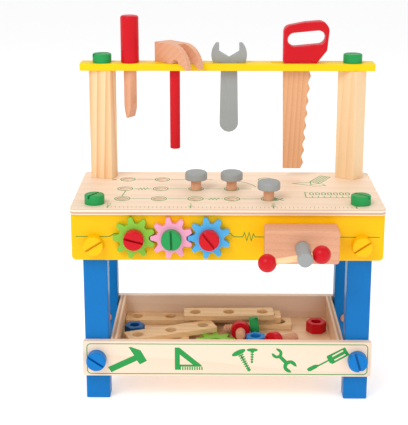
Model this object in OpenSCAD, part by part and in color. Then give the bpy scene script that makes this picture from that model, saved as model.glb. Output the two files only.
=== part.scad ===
// Toy workbench: a play bench with a peg-hole tabletop, a geared front apron with a small vise,
// a parts tray between the legs and a tool shelf on two posts.
// Millimetres. X runs along the bench, the front faces -Y and the feet stand on Z = 0.
// Depths called "d" are counted backwards from the front edge of the tabletop.

/* [Tabletop] */
// Width of the tabletop
top_w = 420; // [414:1:430]
// Depth of the tabletop
top_d = 194; // [192:1:200]
// Thickness of the tabletop plywood
top_t = 8.5; // [7:0.5:10]
// Height of the tabletop's upper face above the floor
top_z = 280; // [276:1:290]
// Radius of the tabletop's corners in plan
top_corner = 8; // [3:1:12]

/* [Peg holes] */
// Radius of a peg hole
hole_r = 8; // [7.5:0.1:8.5]
// Distance between neighbouring peg holes
hole_pitch = 50; // [48:1:50]
// Centre of the leftmost column of peg holes
hole_first_x = -143.5; // [-146:0.5:-140]
// Depth of the front row of peg holes
hole_first_d = 49.5; // [48:0.5:51]

/* [Legs and posts] */
// Width of a leg
leg_w = 33; // [30:1:34]
// Depth of a leg
leg_d = 25; // [24:1:26]
// Distance of a leg's centre from the middle of the bench
leg_x = 179; // [178:1:182]
// Distance of a leg's centre from the nearer long edge of the tabletop
leg_inset = 27; // [26:1:28]
// Depth of a post's section
post_d = 26; // [24:1:27]
// Height of a post between the tabletop and the shelf
post_h = 159; // [150:1:165]
// Turn of the left post about its own upright axis
post_left_turn = -14; // [-45:1:45]
// Turn of the right post about its own upright axis
post_right_turn = -42; // [-45:1:45]

/* [Aprons and tray] */
// Thickness of the aprons and of the tray's long boards
board_t = 10; // [9:1:10]
// Width of an apron
apron_w = 418; // [410:1:420]
// Height of an apron
apron_h = 64.5; // [62:0.5:66]
// Width of the tray's long boards
tray_w = 397; // [394:1:400]
// Height of the tray's boards
tray_h = 51; // [48:1:54]
// Height of the tray's lower edge above the floor
tray_z = 38; // [34:1:42]
// Thickness of the tray's side boards
side_t = 9; // [8:1:9]
// Thickness of the tray's floor
floor_t = 4.5; // [4:0.5:5]
// Height of the tray floor's underside above the boards' lower edge
floor_rise = 11.5; // [10:0.5:13]

/* [Tool shelf] */
// Depth of the tool shelf
shelf_d = 32; // [31:1:34]
// Thickness of the tool shelf
shelf_t = 10; // [9:1:11]

/* [Wooden screws and nuts] */
// Radius of a screw's shank
shank_r = 7; // [6.5:0.1:7.1]
// Length of a screw's shank below its head
shank_len = 38.5; // [38:0.5:39]
// Radius of a screw's head
head_r = 13.5; // [13:0.1:14]
// Height of a screw's head
head_h = 13; // [12:0.5:14]
// Width of a screwdriver slot
slot_w = 3; // [2.5:0.1:3.5]
// Depth of a screwdriver slot
slot_depth = 4.5; // [4:0.1:5]
// Distance across the flats of a nut
nut_flats = 26.4; // [26:0.1:27]
// Height of a nut
nut_h = 15.5; // [14:0.5:16]

/* [Gears] */
// Radius over the tips of a gear's teeth
gear_tip_r = 28.5; // [27.5:0.1:28.6]
// Radius at the roots of a gear's teeth
gear_root_r = 20; // [19:0.1:20.2]
// Thickness of a gear
gear_t = 8.5; // [8:0.1:9]
// Centre of the left gear
gear_first_x = -124.5; // [-126:0.5:-123]
// Height of the gears' axes above the floor
gear_z = 240.5; // [239:0.5:241]

/* [Vise] */
// Centre of the vise along the bench
vise_x = 97.5; // [96:0.5:99]
// Height of the vise screw's axis
vise_z = 236.5; // [235:0.5:238]
// Width of the jaw
jaw_w = 98; // [96:1:100]
// Height of the jaw
jaw_h = 46.5; // [44:0.5:48]
// Thickness of the jaw
jaw_t = 33.8; // [32:0.1:34]
// Distance from the tabletop's front edge to the vise screw's front end
vise_reach = 79; // [78.8:0.1:81]
// Turn of the crossbar about the vise screw
bar_turn = 9.6; // [0:0.1:20]
// Distance between the centres of the crossbar's two balls
bar_span = 70; // [68:1:74]
// Radius of a crossbar ball
ball_r = 12; // [11:0.5:12]

/* [Tools] */
// Centre of the screwdriver along the bench
driver_x = -139; // [-141:1:-137]
// Centre of the hammer's handle along the bench
hammer_x = -75; // [-76:1:-74]
// Turn of the hammer's head about its handle
hammer_turn = -50; // [-55:1:-45]
// Centre of the wrench along the bench
wrench_x = 2.7; // [0:0.1:5]
// Left edge of the saw
saw_x = 79.3; // [78:0.1:80]
// Thickness of the saw's blade
blade_t = 8; // [7:0.5:8]

/* [Tray contents] */
// Length of a long construction beam
beam_l = 134; // [130:1:134]
// Width of a construction beam
beam_w = 31; // [29:1:31]
// Thickness of a construction beam
beam_t = 8; // [8:0.5:8]

/* [Hidden] */
$fn = 64;

// Clearances: a fixed shank in its hole, a turning shank, and faces that move past each other.
fixed_fit = 0.05;
running_fit = 0.08;
side_gap = 0.4;

// Levels and depths that the sub-parts share.
under_top = top_z - top_t;
shelf_z = top_z + post_h;
shelf_top = shelf_z + shelf_t;
front_leg_d = leg_inset;
rear_leg_d = top_d - leg_inset;
board_front_d = leg_inset - leg_d / 2 - board_t;
board_rear_d = top_d - board_front_d - board_t;
apron_z = under_top - apron_h;
apron_screw_z = apron_z + 22.5;
tray_screw_z = tray_z + tray_h / 2;
tray_top = tray_z + tray_h;
floor_z = tray_z + floor_rise;
floor_top = floor_z + floor_t;
side_outer_x = leg_x - leg_w / 2 - 2;
side_inner_x = side_outer_x - side_t;
tray_d0 = board_front_d + board_t;
tray_d1 = board_rear_d;
groove = 3.5;

// The bench is centred front to back between the vise screw and the rear screw heads.
edge_y = (vise_reach - (top_d - board_front_d + head_h)) / 2;
function at_d(d) = edge_y + d;

hole_cols = 5;
hole_rows = 3;
function hole_x(col) = hole_first_x + col * hole_pitch;
function hole_d(row) = hole_first_d + row * hole_pitch;

gear_teeth = 9;
gear_pitch = 2 * 25;
gear_back_d = board_front_d - side_gap;
gear_seat_d = gear_back_d - gear_t - side_gap;
tooth_root_w = 10.4;
tooth_tip_w = 6.2;
tooth_round = 2;

jaw_back_d = board_front_d - 0.3;
jaw_front_d = jaw_back_d - jaw_t;
vise_head_r = 9.6;
vise_travel = 24;
vise_shank_back_d = board_front_d + board_t + nut_h + vise_travel + 2;
bar_d = 13 - vise_reach;
bar_r = 4;
bar_rest = ball_r + vise_head_r + 0.2 - bar_span / 2;
guide_r = 4;
guide_x = 32;
guide_front_d = jaw_front_d + 10;
guide_back_d = board_front_d + board_t + vise_travel + 0.5;

peg_head_r = 15.5;
peg_head_h = 12;
peg_shank_r = 7.25;
peg_lift = 13.8;
peg_shank_len = 45;

post_depth_in_leg = 22;
stud_len = 54;
tool_d = rear_leg_d;

// Points of an arc, from angle a0 to a1.
function arc(cx, cy, r, a0, a1, n = 8) =
    [for (i = [0 : n]) let (a = a0 + (a1 - a0) * i / n) [cx + r * cos(a), cy + r * sin(a)]];

// Flat outline: a rectangle with round corners, centred.
module round_rect(w, h, r) {
    square([w - 2 * r, h], center = true);
    square([w, h - 2 * r], center = true);
    for (sx = [-1, 1], sy = [-1, 1])
        translate([sx * (w / 2 - r), sy * (h / 2 - r)]) circle(r);
}

// Stands a flat outline up in the XZ plane, its back face at depth d and its thickness t forwards.
module standing(d, t) {
    translate([0, at_d(d), 0]) rotate([90, 0, 0]) linear_extrude(t) children();
}

// Hole or rod along Y between two depths.
module along_y(x, z, d0, d1, r) {
    translate([x, at_d(d0), z]) rotate([-90, 0, 0]) cylinder(r = r, h = d1 - d0);
}

// Hole or rod along Z between two heights.
module along_z(x, d, z0, z1, r) {
    translate([x, at_d(d), z0]) cylinder(r = r, h = z1 - z0);
}

// Slotted wooden screw on Z, seated at Z = 0 with its head up.
module wood_screw(slot_turn = 0, length = shank_len) {
    bevel = 2;
    difference() {
        rotate_extrude() polygon([[0, -length], [shank_r - bevel, -length], [shank_r, bevel - length],
                                  [shank_r, 0], [head_r, 0], [head_r, head_h - bevel],
                                  [head_r - bevel, head_h], [0, head_h]]);
        translate([0, 0, head_h]) rotate([0, 0, slot_turn])
            cube([2 * head_r + 2, slot_w, 2 * slot_depth], center = true);
    }
}

module screw_in_front(x, d, z, slot_turn) {
    translate([x, at_d(d), z]) rotate([90, 0, 0]) wood_screw(slot_turn);
}

module screw_in_rear(x, d, z, slot_turn) {
    translate([x, at_d(d), z]) rotate([-90, 0, 0]) wood_screw(slot_turn);
}

module screw_from_above(x, d, z, slot_turn) {
    translate([x, at_d(d), z]) wood_screw(slot_turn);
}

module hex_nut() {
    difference() {
        cylinder(r = nut_flats / sqrt(3), h = nut_h, $fn = 6);
        translate([0, 0, -1]) cylinder(r = shank_r + fixed_fit, h = nut_h + 2, $fn = 64);
    }
}

// ---- Frame ----

module leg(x, d) {
    color("dodgerblue") difference() {
        translate([x, at_d(d), 0]) linear_extrude(under_top) round_rect(leg_w, leg_d, 2);
        for (z = [apron_screw_z, tray_screw_z])
            along_y(x, z, d - leg_d, d + leg_d, shank_r + fixed_fit);
        children();
    }
}

module front_leg(x) {
    leg(x, front_leg_d) along_z(x, front_leg_d, top_z - shank_len - 1.5, top_z, shank_r + fixed_fit);
}

module rear_leg(x) {
    leg(x, rear_leg_d)
        along_z(x, rear_leg_d, under_top - post_depth_in_leg, top_z, shank_r + fixed_fit);
}

module leg_front_left() { front_leg(-leg_x); }
module leg_front_right() { front_leg(leg_x); }
module leg_rear_left() { rear_leg(-leg_x); }
module leg_rear_right() { rear_leg(leg_x); }

// Apron outline in XZ: square upper corners, round lower corners.
module apron_outline() {
    translate([0, apron_z + apron_h / 2]) round_rect(apron_w, apron_h, 6);
    translate([-apron_w / 2, apron_z + apron_h / 2]) square([apron_w, apron_h / 2]);
}

module apron_screw_holes(d) {
    for (side = [-1, 1])
        along_y(side * leg_x, apron_screw_z, d - 1, d + board_t + 1, shank_r + fixed_fit);
}

module front_apron() {
    color("gold") difference() {
        standing(board_front_d + board_t, board_t) apron_outline();
        apron_screw_holes(board_front_d);
        for (i = [0 : 2])
            along_y(gear_first_x + i * gear_pitch, gear_z, 0, tray_d0 + 1, shank_r + fixed_fit);
        along_y(vise_x, vise_z, 0, tray_d0 + 1, shank_r + running_fit);
        for (side = [-1, 1])
            along_y(vise_x + side * guide_x, vise_z, 0, tray_d0 + 1, guide_r + running_fit);
    }
}

module rear_apron() {
    color("gold") difference() {
        standing(board_rear_d + board_t, board_t) apron_outline();
        apron_screw_holes(board_rear_d);
    }
}

module tabletop() {
    color("bisque") difference() {
        translate([0, at_d(top_d / 2), under_top]) linear_extrude(top_t)
            round_rect(top_w, top_d, top_corner);
        for (col = [0 : hole_cols - 1], row = [0 : hole_rows - 1])
            along_z(hole_x(col), hole_d(row), under_top - 1, top_z + 1, hole_r);
        for (side = [-1, 1], d = [front_leg_d, rear_leg_d])
            along_z(side * leg_x, d, under_top - 1, top_z + 1, shank_r + fixed_fit);
    }
}

module post(x, turn) {
    color("burlywood") difference() {
        translate([x, at_d(rear_leg_d), top_z]) rotate([0, 0, turn]) linear_extrude(post_h)
            round_rect(leg_w, post_d, 2);
        along_z(x, rear_leg_d, top_z - 1, under_top - post_depth_in_leg + stud_len + 1, shank_r + fixed_fit);
        along_z(x, rear_leg_d, shelf_top - shank_len - 1, shelf_top, shank_r + fixed_fit);
    }
}

module post_left() { post(-leg_x, post_left_turn); }
module post_right() { post(leg_x, post_right_turn); }

module post_studs() {
    stud_z = under_top - post_depth_in_leg;
    color("wheat") for (side = [-1, 1])
        along_z(side * leg_x, rear_leg_d, stud_z, stud_z + stud_len, shank_r);
}

// ---- Tool shelf ----

wrench_slot_w = 29;
saw_slot_x0 = 63.5;
saw_slot_x1 = 123;

module tool_shelf() {
    color("gold") difference() {
        translate([0, at_d(tool_d), shelf_z]) linear_extrude(shelf_t) round_rect(top_w, shelf_d, 3);
        for (side = [-1, 1])
            along_z(side * leg_x, tool_d, shelf_z - 1, shelf_top + 1, shank_r + fixed_fit);
        along_z(driver_x, tool_d, shelf_z - 1, shelf_top + 1, 10);
        along_z(hammer_x, tool_d, shelf_z - 1, shelf_top + 1, 8.5);
        translate([wrench_x - wrench_slot_w / 2, at_d(tool_d) - blade_t / 2 - 0.75, shelf_z - 1])
            cube([wrench_slot_w, blade_t + 1.5, shelf_t + 2]);
        translate([saw_slot_x0, at_d(tool_d) - blade_t / 2 - 0.75, shelf_z - 1])
            cube([saw_slot_x1 - saw_slot_x0, blade_t + 1.5, shelf_t + 2]);
    }
}

// ---- Tray ----

module long_board(d) {
    inner_face_d = d < top_d / 2 ? d + board_t : d;
    color("peachpuff") difference() {
        standing(d + board_t, board_t) translate([0, tray_screw_z]) round_rect(tray_w, tray_h, 3);
        for (side = [-1, 1]) {
            along_y(side * leg_x, tray_screw_z, d - 1, d + board_t + 1, shank_r + fixed_fit);
            for (z = dowel_zs)
                along_y(side * dowel_x, z, inner_face_d - dowel_bite, inner_face_d + dowel_bite, dowel_r);
        }
        translate([-side_inner_x, at_d(inner_face_d) - groove, floor_z])
            cube([2 * side_inner_x, 2 * groove, floor_t]);
    }
}

dowel_r = 2.5;
dowel_bite = 7;
dowel_len = 22;
dowel_x = side_inner_x + side_t / 2;
dowel_zs = [tray_z + 6, tray_top - 9];

module tray_front_board() { long_board(board_front_d); }
module tray_rear_board() { long_board(board_rear_d); }

module tray_side(side) {
    into_side = dowel_len - dowel_bite;
    color("burlywood") difference() {
        translate([side * dowel_x - side_t / 2, at_d(tray_d0), tray_z])
            cube([side_t, tray_d1 - tray_d0, tray_h]);
        translate([side * side_inner_x - groove, at_d(tray_d0) - 1, floor_z])
            cube([2 * groove, tray_d1 - tray_d0 + 2, floor_t]);
        for (z = dowel_zs) {
            along_y(side * dowel_x, z, tray_d0 - 1, tray_d0 + into_side, dowel_r);
            along_y(side * dowel_x, z, tray_d1 - into_side, tray_d1 + 1, dowel_r);
        }
    }
}

module tray_side_left() { tray_side(-1); }
module tray_side_right() { tray_side(1); }

module tray_floor() {
    lip = groove - 0.2;
    color("peachpuff") {
        translate([-side_inner_x - lip, at_d(tray_d0), floor_z])
            cube([2 * (side_inner_x + lip), tray_d1 - tray_d0, floor_t]);
        translate([-side_inner_x, at_d(tray_d0) - lip, floor_z])
            cube([2 * side_inner_x, tray_d1 - tray_d0 + 2 * lip, floor_t]);
    }
}

module tray_dowels() {
    color("wheat") for (side = [-1, 1], z = dowel_zs) {
        along_y(side * dowel_x, z, tray_d0 - dowel_bite, tray_d0 - dowel_bite + dowel_len, dowel_r - fixed_fit);
        along_y(side * dowel_x, z, tray_d1 + dowel_bite - dowel_len, tray_d1 + dowel_bite, dowel_r - fixed_fit);
    }
}

// ---- Wooden screws that hold the bench together ----

module tabletop_screws() {
    color("mediumseagreen") {
        screw_from_above(-leg_x, front_leg_d, top_z, 60);
        screw_from_above(leg_x, front_leg_d, top_z, -41);
    }
}

module shelf_screws() {
    color("mediumseagreen") {
        screw_from_above(-leg_x, tool_d, shelf_top, 35);
        screw_from_above(leg_x, tool_d, shelf_top, -12);
    }
}

module front_apron_screws() {
    color("gold") {
        screw_in_front(-leg_x, board_front_d, apron_screw_z, 32);
        screw_in_front(leg_x, board_front_d, apron_screw_z, 34);
    }
}

module rear_apron_screws() {
    color("gold") {
        screw_in_rear(-leg_x, top_d - board_front_d, apron_screw_z, 20);
        screw_in_rear(leg_x, top_d - board_front_d, apron_screw_z, 75);
    }
}

module tray_front_screws() {
    color("royalblue") {
        screw_in_front(-leg_x, board_front_d, tray_screw_z, -35);
        screw_in_front(leg_x, board_front_d, tray_screw_z, -74);
    }
}

module tray_rear_screws() {
    color("royalblue") {
        screw_in_rear(-leg_x, top_d - board_front_d, tray_screw_z, 50);
        screw_in_rear(leg_x, top_d - board_front_d, tray_screw_z, 10);
    }
}

// ---- Gears ----

// One tooth pointing along +X, with round tip corners.
module tooth() {
    polygon([[gear_root_r - 2, -tooth_root_w / 2], [gear_tip_r - tooth_round, -tooth_tip_w / 2],
             [gear_tip_r, tooth_round - tooth_tip_w / 2], [gear_tip_r, tooth_tip_w / 2 - tooth_round],
             [gear_tip_r - tooth_round, tooth_tip_w / 2], [gear_root_r - 2, tooth_root_w / 2]]);
    for (side = [-1, 1])
        translate([gear_tip_r - tooth_round, side * (tooth_tip_w / 2 - tooth_round)]) circle(tooth_round);
}

module gear_outline(bore_r) {
    difference() {
        union() {
            circle(gear_root_r);
            for (i = [0 : gear_teeth - 1]) rotate(180 + i * 360 / gear_teeth) tooth();
        }
        circle(bore_r);
    }
}

module apron_gear(i, tint) {
    color(tint) standing(gear_back_d, gear_t)
        translate([gear_first_x + i * gear_pitch, gear_z]) gear_outline(shank_r + running_fit);
}

module left_gear() { apron_gear(0, "yellowgreen"); }
module middle_gear() { apron_gear(1, "pink"); }
module right_gear() { apron_gear(2, "deepskyblue"); }

module gear_screw(i, tint, slot_turn) {
    color(tint) screw_in_front(gear_first_x + i * gear_pitch, gear_seat_d, gear_z, slot_turn);
}

module gear_screw_left() { gear_screw(0, "crimson", -15); }
module gear_screw_middle() { gear_screw(1, "mediumseagreen", 92); }
module gear_screw_right() { gear_screw(2, "crimson", -52); }

module gear_nuts() {
    color("royalblue") for (i = [0 : 2])
        translate([gear_first_x + i * gear_pitch, at_d(tray_d0), gear_z]) rotate([-90, 0, 0]) hex_nut();
}

// ---- Vise ----

module vise_jaw() {
    edge = 4;
    color("burlywood") difference() {
        intersection() {
            standing(jaw_back_d, jaw_t) translate([vise_x, vise_z]) round_rect(jaw_w, jaw_h, edge);
            translate([vise_x - jaw_w / 2, at_d(jaw_back_d) - jaw_t / 2, vise_z])
                rotate([90, 0, 90]) linear_extrude(jaw_w) union() {
                    round_rect(jaw_t, jaw_h, edge);
                    translate([0, -jaw_h / 2]) square([jaw_t / 2, jaw_h]);
                }
        }
        along_y(vise_x, vise_z, jaw_front_d - 1, jaw_back_d + 1, shank_r + running_fit);
        for (side = [-1, 1])
            along_y(vise_x + side * guide_x, vise_z, guide_front_d, jaw_back_d + 1, guide_r);
    }
}

module vise_guide_pins() {
    color("wheat") for (side = [-1, 1])
        along_y(vise_x + side * guide_x, vise_z, guide_front_d, guide_back_d, guide_r);
}

module vise_screw() {
    bevel = 1.2;
    head_len = vise_reach + jaw_front_d - side_gap;
    tail = vise_shank_back_d - jaw_front_d + side_gap;
    color("darkgray") difference() {
        translate([vise_x, at_d(jaw_front_d - side_gap), vise_z]) rotate([90, 0, 0])
            rotate_extrude() polygon([[0, -tail], [shank_r - bevel, -tail], [shank_r, bevel - tail],
                                      [shank_r, 0], [vise_head_r, 0], [vise_head_r, head_len - bevel],
                                      [vise_head_r - bevel, head_len], [0, head_len]]);
        crossbar_rod(bar_span, bar_r + running_fit);
    }
}

// Rod along the crossbar's axis, through the vise screw's head.
module crossbar_rod(half_len, r, shift = 0) {
    translate([vise_x, at_d(bar_d), vise_z]) rotate([0, 90 - bar_turn, 0])
        translate([0, 0, shift - half_len]) cylinder(r = r, h = 2 * half_len);
}

module vise_nut() {
    color("burlywood") translate([vise_x, at_d(tray_d0), vise_z]) rotate([-90, 0, 0]) difference() {
        cylinder(r = nut_flats / sqrt(3), h = nut_h, $fn = 6);
        translate([0, 0, -1]) cylinder(r = shank_r + running_fit, h = nut_h + 2, $fn = 64);
    }
}

bar_half = bar_span / 2 + 5;

module vise_crossbar() { color("burlywood") crossbar_rod(bar_half, bar_r, bar_rest); }

module vise_crossbar_balls() {
    color("crimson") difference() {
        for (side = [-1, 1])
            translate([vise_x, at_d(bar_d), vise_z]) rotate([0, 90 - bar_turn, 0])
                translate([0, 0, bar_rest + side * bar_span / 2]) sphere(ball_r);
        crossbar_rod(bar_half, bar_r + fixed_fit, bar_rest);
    }
}

// ---- Pegs ----

module peg(col, row) {
    edge = 4;
    color("darkgray") translate([hole_x(col), at_d(hole_d(row)), top_z + peg_lift]) rotate_extrude()
        polygon(concat([[0, -peg_shank_len], [peg_shank_r - 1.5, -peg_shank_len],
                        [peg_shank_r, 1.5 - peg_shank_len], [peg_shank_r, 0]],
                       arc(peg_head_r - 2, 2, 2, -90, 0, 4),
                       arc(peg_head_r - edge, peg_head_h - edge, edge, 0, 90, 6),
                       [[0, peg_head_h]]));
}

module peg_left() { peg(2, 1); }
module peg_middle() { peg(3, 1); }
module peg_right() { peg(4, 0); }

// ---- Screwdriver ----

driver_handle_r = 13;
driver_handle_h = 67;
driver_blade_r = 9.15;
driver_blade_len = 80;
tang_r = 5;
tang_len = 28;

module screwdriver_handle() {
    low = 1.5;
    high = 4;
    color("crimson") translate([driver_x, at_d(tool_d), shelf_top]) difference() {
        rotate_extrude() polygon(concat([[0, 0]], arc(driver_handle_r - low, low, low, -90, 0, 4),
                                        arc(driver_handle_r - high, driver_handle_h - high, high, 0, 90, 6),
                                        [[0, driver_handle_h]]));
        translate([0, 0, -1]) cylinder(r = tang_r + fixed_fit, h = tang_len + 2);
    }
}

// A round dowel whose end is cut to a chisel edge by two flat bevels.
module screwdriver_blade() {
    bevel_len = 23;
    bevel_angle = atan((driver_blade_r - 0.8) / bevel_len);
    color("burlywood") translate([driver_x, at_d(tool_d), shelf_top]) {
        difference() {
            translate([0, 0, -driver_blade_len]) cylinder(r = driver_blade_r, h = driver_blade_len);
            rotate([0, 0, 57]) for (side = [-1, 1])
                translate([0, side * 0.8, -driver_blade_len]) rotate([-side * bevel_angle, 0, 0])
                    translate([-15, side < 0 ? -30 : 0, -10]) cube([30, 30, 60]);
        }
        cylinder(r = tang_r, h = tang_len);
    }
}

// ---- Hammer ----

hammer_w = 30;
hammer_h = 28;
hammer_handle_r = 7.5;
hammer_eye = 22;

// Side of the hammer's head: a square face on the left and claws that curve down on the right.
module hammer_side() {
    claw = [for (i = [0 : 10]) let (a = i * 9) [10 + 37 * sin(a), 28 + 33 * (cos(a) - 1)]];
    notch = arc(19.5, -2, 9.2, 20, 160, 6);
    polygon(concat([[-28, 0], [-28, hammer_h]], claw, [[43.2, -5.4], [35.5, 0.2]], notch, [[10, 0]]));
}

module hammer_head() {
    color("tan") translate([hammer_x, at_d(tool_d), shelf_top]) rotate([0, 0, hammer_turn]) difference() {
        translate([0, hammer_w / 2, 0]) rotate([90, 0, 0]) linear_extrude(hammer_w) hammer_side();
        translate([0, 0, -20]) linear_extrude(60)
            polygon([[14, -6], [50, -8], [50, 8], [14, 6]]);
        translate([0, 0, -1]) cylinder(r = hammer_handle_r + fixed_fit, h = hammer_eye + 1);
    }
}

module hammer_handle() {
    below = 126;
    color("crimson") translate([hammer_x, at_d(tool_d), shelf_top]) rotate_extrude()
        polygon([[0, -below], [hammer_handle_r - 1.5, -below], [hammer_handle_r, 1.5 - below],
                 [hammer_handle_r, hammer_eye], [0, hammer_eye]]);
}

// ---- Wrench ----

// Front of the wrench, with Z = 0 at the shelf: an open hexagon jaw and a handle with a round end.
module wrench_outline() {
    head_r = 25.4;
    head_z = 11;
    jaw = 14.3;
    foot_r = 13.4;
    foot_z = -87.5;
    intersection() {
        difference() {
            translate([0, head_z]) circle(head_r);
            polygon([[-jaw, 40], [-jaw, 16.5], [0, 8], [jaw, 16.5], [jaw, 40]]);
        }
        translate([-30, 0]) square([60, 28.5]);
    }
    polygon([[-11.6, 1], [-foot_r, foot_z], [foot_r, foot_z], [11.6, 1]]);
    translate([0, foot_z]) circle(foot_r);
}

module wrench() {
    color("darkgray") standing(tool_d + blade_t / 2, blade_t)
        translate([wrench_x, shelf_top]) wrench_outline();
}

// ---- Saw ----

saw_handle_t = 18;
saw_handle_w = 65;
saw_handle_h = 60;
saw_blade_len = 155.5;
saw_tang = 13;

module saw_handle_outline() {
    difference() {
        polygon(concat(arc(3, 3, 3, 180, 270, 4), [[48, 0]], arc(57.5, 20, 5, -45, 0, 3),
                       arc(50, saw_handle_h - 15, 15, 0, 85, 8), [[30, saw_handle_h - 1.8]],
                       arc(10, saw_handle_h - 16, 10, 105, 180, 5)));
        grip_slot();
    }
}

// Grip hole: a slot with round ends, tilted a little.
module grip_slot() {
    grip_r = 9.8;
    grip_len = 33.6;
    translate([16, 33.5]) rotate(5.5) {
        translate([0, -grip_r]) square([grip_len, 2 * grip_r]);
        circle(grip_r);
        translate([grip_len, 0]) circle(grip_r);
    }
}

module saw_handle() {
    color("crimson") difference() {
        standing(tool_d + saw_handle_t / 2, saw_handle_t)
            translate([saw_x, shelf_top]) saw_handle_outline();
        translate([saw_x + 4, at_d(tool_d) - blade_t / 2, shelf_top - 1])
            cube([34, blade_t, saw_tang + 1]);
    }
}

// Blade outline, with Z = 0 at the shelf: the right edge leans in and carries eight shallow waves.
module saw_blade_outline() {
    waves = 8;
    steps = 64;
    wave_depth = 2.2;
    wavy = [for (i = [0 : steps]) let (t = i / steps)
            [41 - 9.5 * t - wave_depth * pow(abs(cos(180 * waves * t)), 1.6),
             -shelf_t - t * (saw_blade_len - shelf_t)]];
    polygon(concat([[2.6, -saw_blade_len], [0.3, 0], [4.2, 0], [4.2, saw_tang], [37.8, saw_tang], [37.8, 0],
                    [38.8, 0]], wavy));
}

module saw_blade() {
    color("burlywood") standing(tool_d + blade_t / 2 - fixed_fit, blade_t - 2 * fixed_fit)
        translate([saw_x, shelf_top]) saw_blade_outline();
}

// ---- Loose pieces in the tray ----

beam_long_holes = [-50, 0, 50];
beam_short_holes = [-25, 25];
beam_short_l = 84;

module beam(x, d, layer, turn, length, holes) {
    color("burlywood") translate([x, at_d(d), floor_top + layer * beam_t]) rotate([0, 0, turn])
        difference() {
            linear_extrude(beam_t) round_rect(length, beam_w, 3);
            for (hole = holes) translate([hole, 0, -1]) cylinder(r = hole_r, h = beam_t + 2);
        }
}

module beam_rear() { beam(-84, tray_d1 - beam_w / 2 - 1, 0, 0, beam_l, beam_long_holes); }
module beam_bottom() { beam(56, 144, 0, 0, beam_short_l, beam_short_holes); }
module beam_middle() { beam(15.2, 152.5, 1, 0, beam_l, beam_long_holes); }
module beam_top() { beam(4.1, 142, 2, 1.5, beam_l, beam_long_holes); }
module beam_short() { beam(-96, 75, 0, 0, beam_short_l, beam_short_holes); }
module beam_slanted() { beam(-80.5, 92.3, 1, 21, beam_l, beam_long_holes); }

module loose_nut(x, d, turn, tint) {
    color(tint) translate([x, at_d(d), floor_top]) rotate([0, 0, turn]) hex_nut();
}

module nut_navy() { loose_nut(-134.5, 111.5, 8, "midnightblue"); }
module nut_blue() { loose_nut(42, 72.8, 30, "dodgerblue"); }
module nut_red() { loose_nut(133.4, 127, 0, "crimson"); }

module loose_gear() {
    color("yellowgreen") translate([-15.4, at_d(74.8), floor_top]) rotate([0, 0, -90])
        linear_extrude(beam_t) gear_outline(shank_r + running_fit);
}

// Screw lying on the tray floor: its head's rim and its tip touch the floor.
module lying_screw(x, d, turn, slot_turn, length, tint, tip_rest = 0) {
    dip = asin((head_r - shank_r - tip_rest) / (length + head_h));
    color(tint) translate([x, at_d(d), floor_top + head_r]) rotate([0, 0, turn])
        rotate([0, dip - 90, 0]) wood_screw(slot_turn, length);
}

module loose_screw_green() { lying_screw(35, 111, 180, 20, shank_len, "mediumseagreen"); }
module loose_screw_short() { lying_screw(20.5, 90, -90, 0, 18, "crimson", head_r - shank_r); }
module loose_screw_red() { lying_screw(71.6, 59.2, 40, 60, shank_len, "crimson"); }

leg_front_left();
leg_front_right();
leg_rear_left();
leg_rear_right();
front_apron();
rear_apron();
tabletop();
post_left();
post_right();
post_studs();
tool_shelf();
tray_front_board();
tray_rear_board();
tray_side_left();
tray_side_right();
tray_floor();
tray_dowels();
tabletop_screws();
shelf_screws();
front_apron_screws();
rear_apron_screws();
tray_front_screws();
tray_rear_screws();
left_gear();
middle_gear();
right_gear();
gear_screw_left();
gear_screw_middle();
gear_screw_right();
gear_nuts();
vise_jaw();
vise_guide_pins();
vise_screw();
vise_nut();
vise_crossbar();
vise_crossbar_balls();
peg_left();
peg_middle();
peg_right();
screwdriver_handle();
screwdriver_blade();
hammer_head();
hammer_handle();
wrench();
saw_handle();
saw_blade();
beam_rear();
beam_bottom();
beam_middle();
beam_top();
beam_short();
beam_slanted();
nut_navy();
nut_blue();
nut_red();
loose_gear();
loose_screw_green();
loose_screw_short();
loose_screw_red();
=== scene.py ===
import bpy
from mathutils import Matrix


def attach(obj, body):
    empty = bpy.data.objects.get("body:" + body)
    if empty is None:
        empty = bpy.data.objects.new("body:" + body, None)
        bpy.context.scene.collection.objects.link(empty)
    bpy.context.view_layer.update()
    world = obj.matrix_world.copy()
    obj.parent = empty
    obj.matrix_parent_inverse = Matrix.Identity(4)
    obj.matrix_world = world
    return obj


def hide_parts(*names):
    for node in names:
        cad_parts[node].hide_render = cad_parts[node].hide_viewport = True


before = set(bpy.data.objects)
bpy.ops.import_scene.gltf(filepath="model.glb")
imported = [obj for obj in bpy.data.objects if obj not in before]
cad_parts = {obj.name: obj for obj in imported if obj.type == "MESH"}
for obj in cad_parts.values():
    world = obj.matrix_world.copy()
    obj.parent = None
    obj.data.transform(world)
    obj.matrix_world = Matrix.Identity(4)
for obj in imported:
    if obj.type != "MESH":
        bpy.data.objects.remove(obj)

"""The looks of the toy workbench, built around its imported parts.

Sizes are millimetres in the row's own frame until a mesh is made, and metres after that.
Depths called ``d`` count backwards from the tabletop's front edge, as in the part's source.
"""

import logging
import math
from dataclasses import dataclass, field
from enum import Enum
from typing import Iterable, Sequence

import bmesh
import bpy
from mathutils import Matrix, Vector
from mathutils.geometry import delaunay_2d_cdt

log = logging.getLogger("workbench")

MM = 0.001
FRONT_EDGE_Y = -61.75
BENCH = "bench"
SCREW_BORE = 7.08
PIN_BORE = 4.08
SHARP_ANGLE = 50

Point = tuple[float, float]
Outline = list[Point]
Colour = tuple[int, int, int]


def linear(colour: Colour) -> tuple[float, float, float, float]:
    """Turns a display colour into the linear colour that shaders take.

    Args:
        colour: Red, green and blue from 0 to 255.

    Returns:
        Linear red, green, blue and alpha.
    """
    values = []
    for part in colour:
        share = part / 255
        values.append(share / 12.92 if share <= 0.04045 else ((share + 0.055) / 1.055) ** 2.4)
    return (values[0], values[1], values[2], 1.0)


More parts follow.
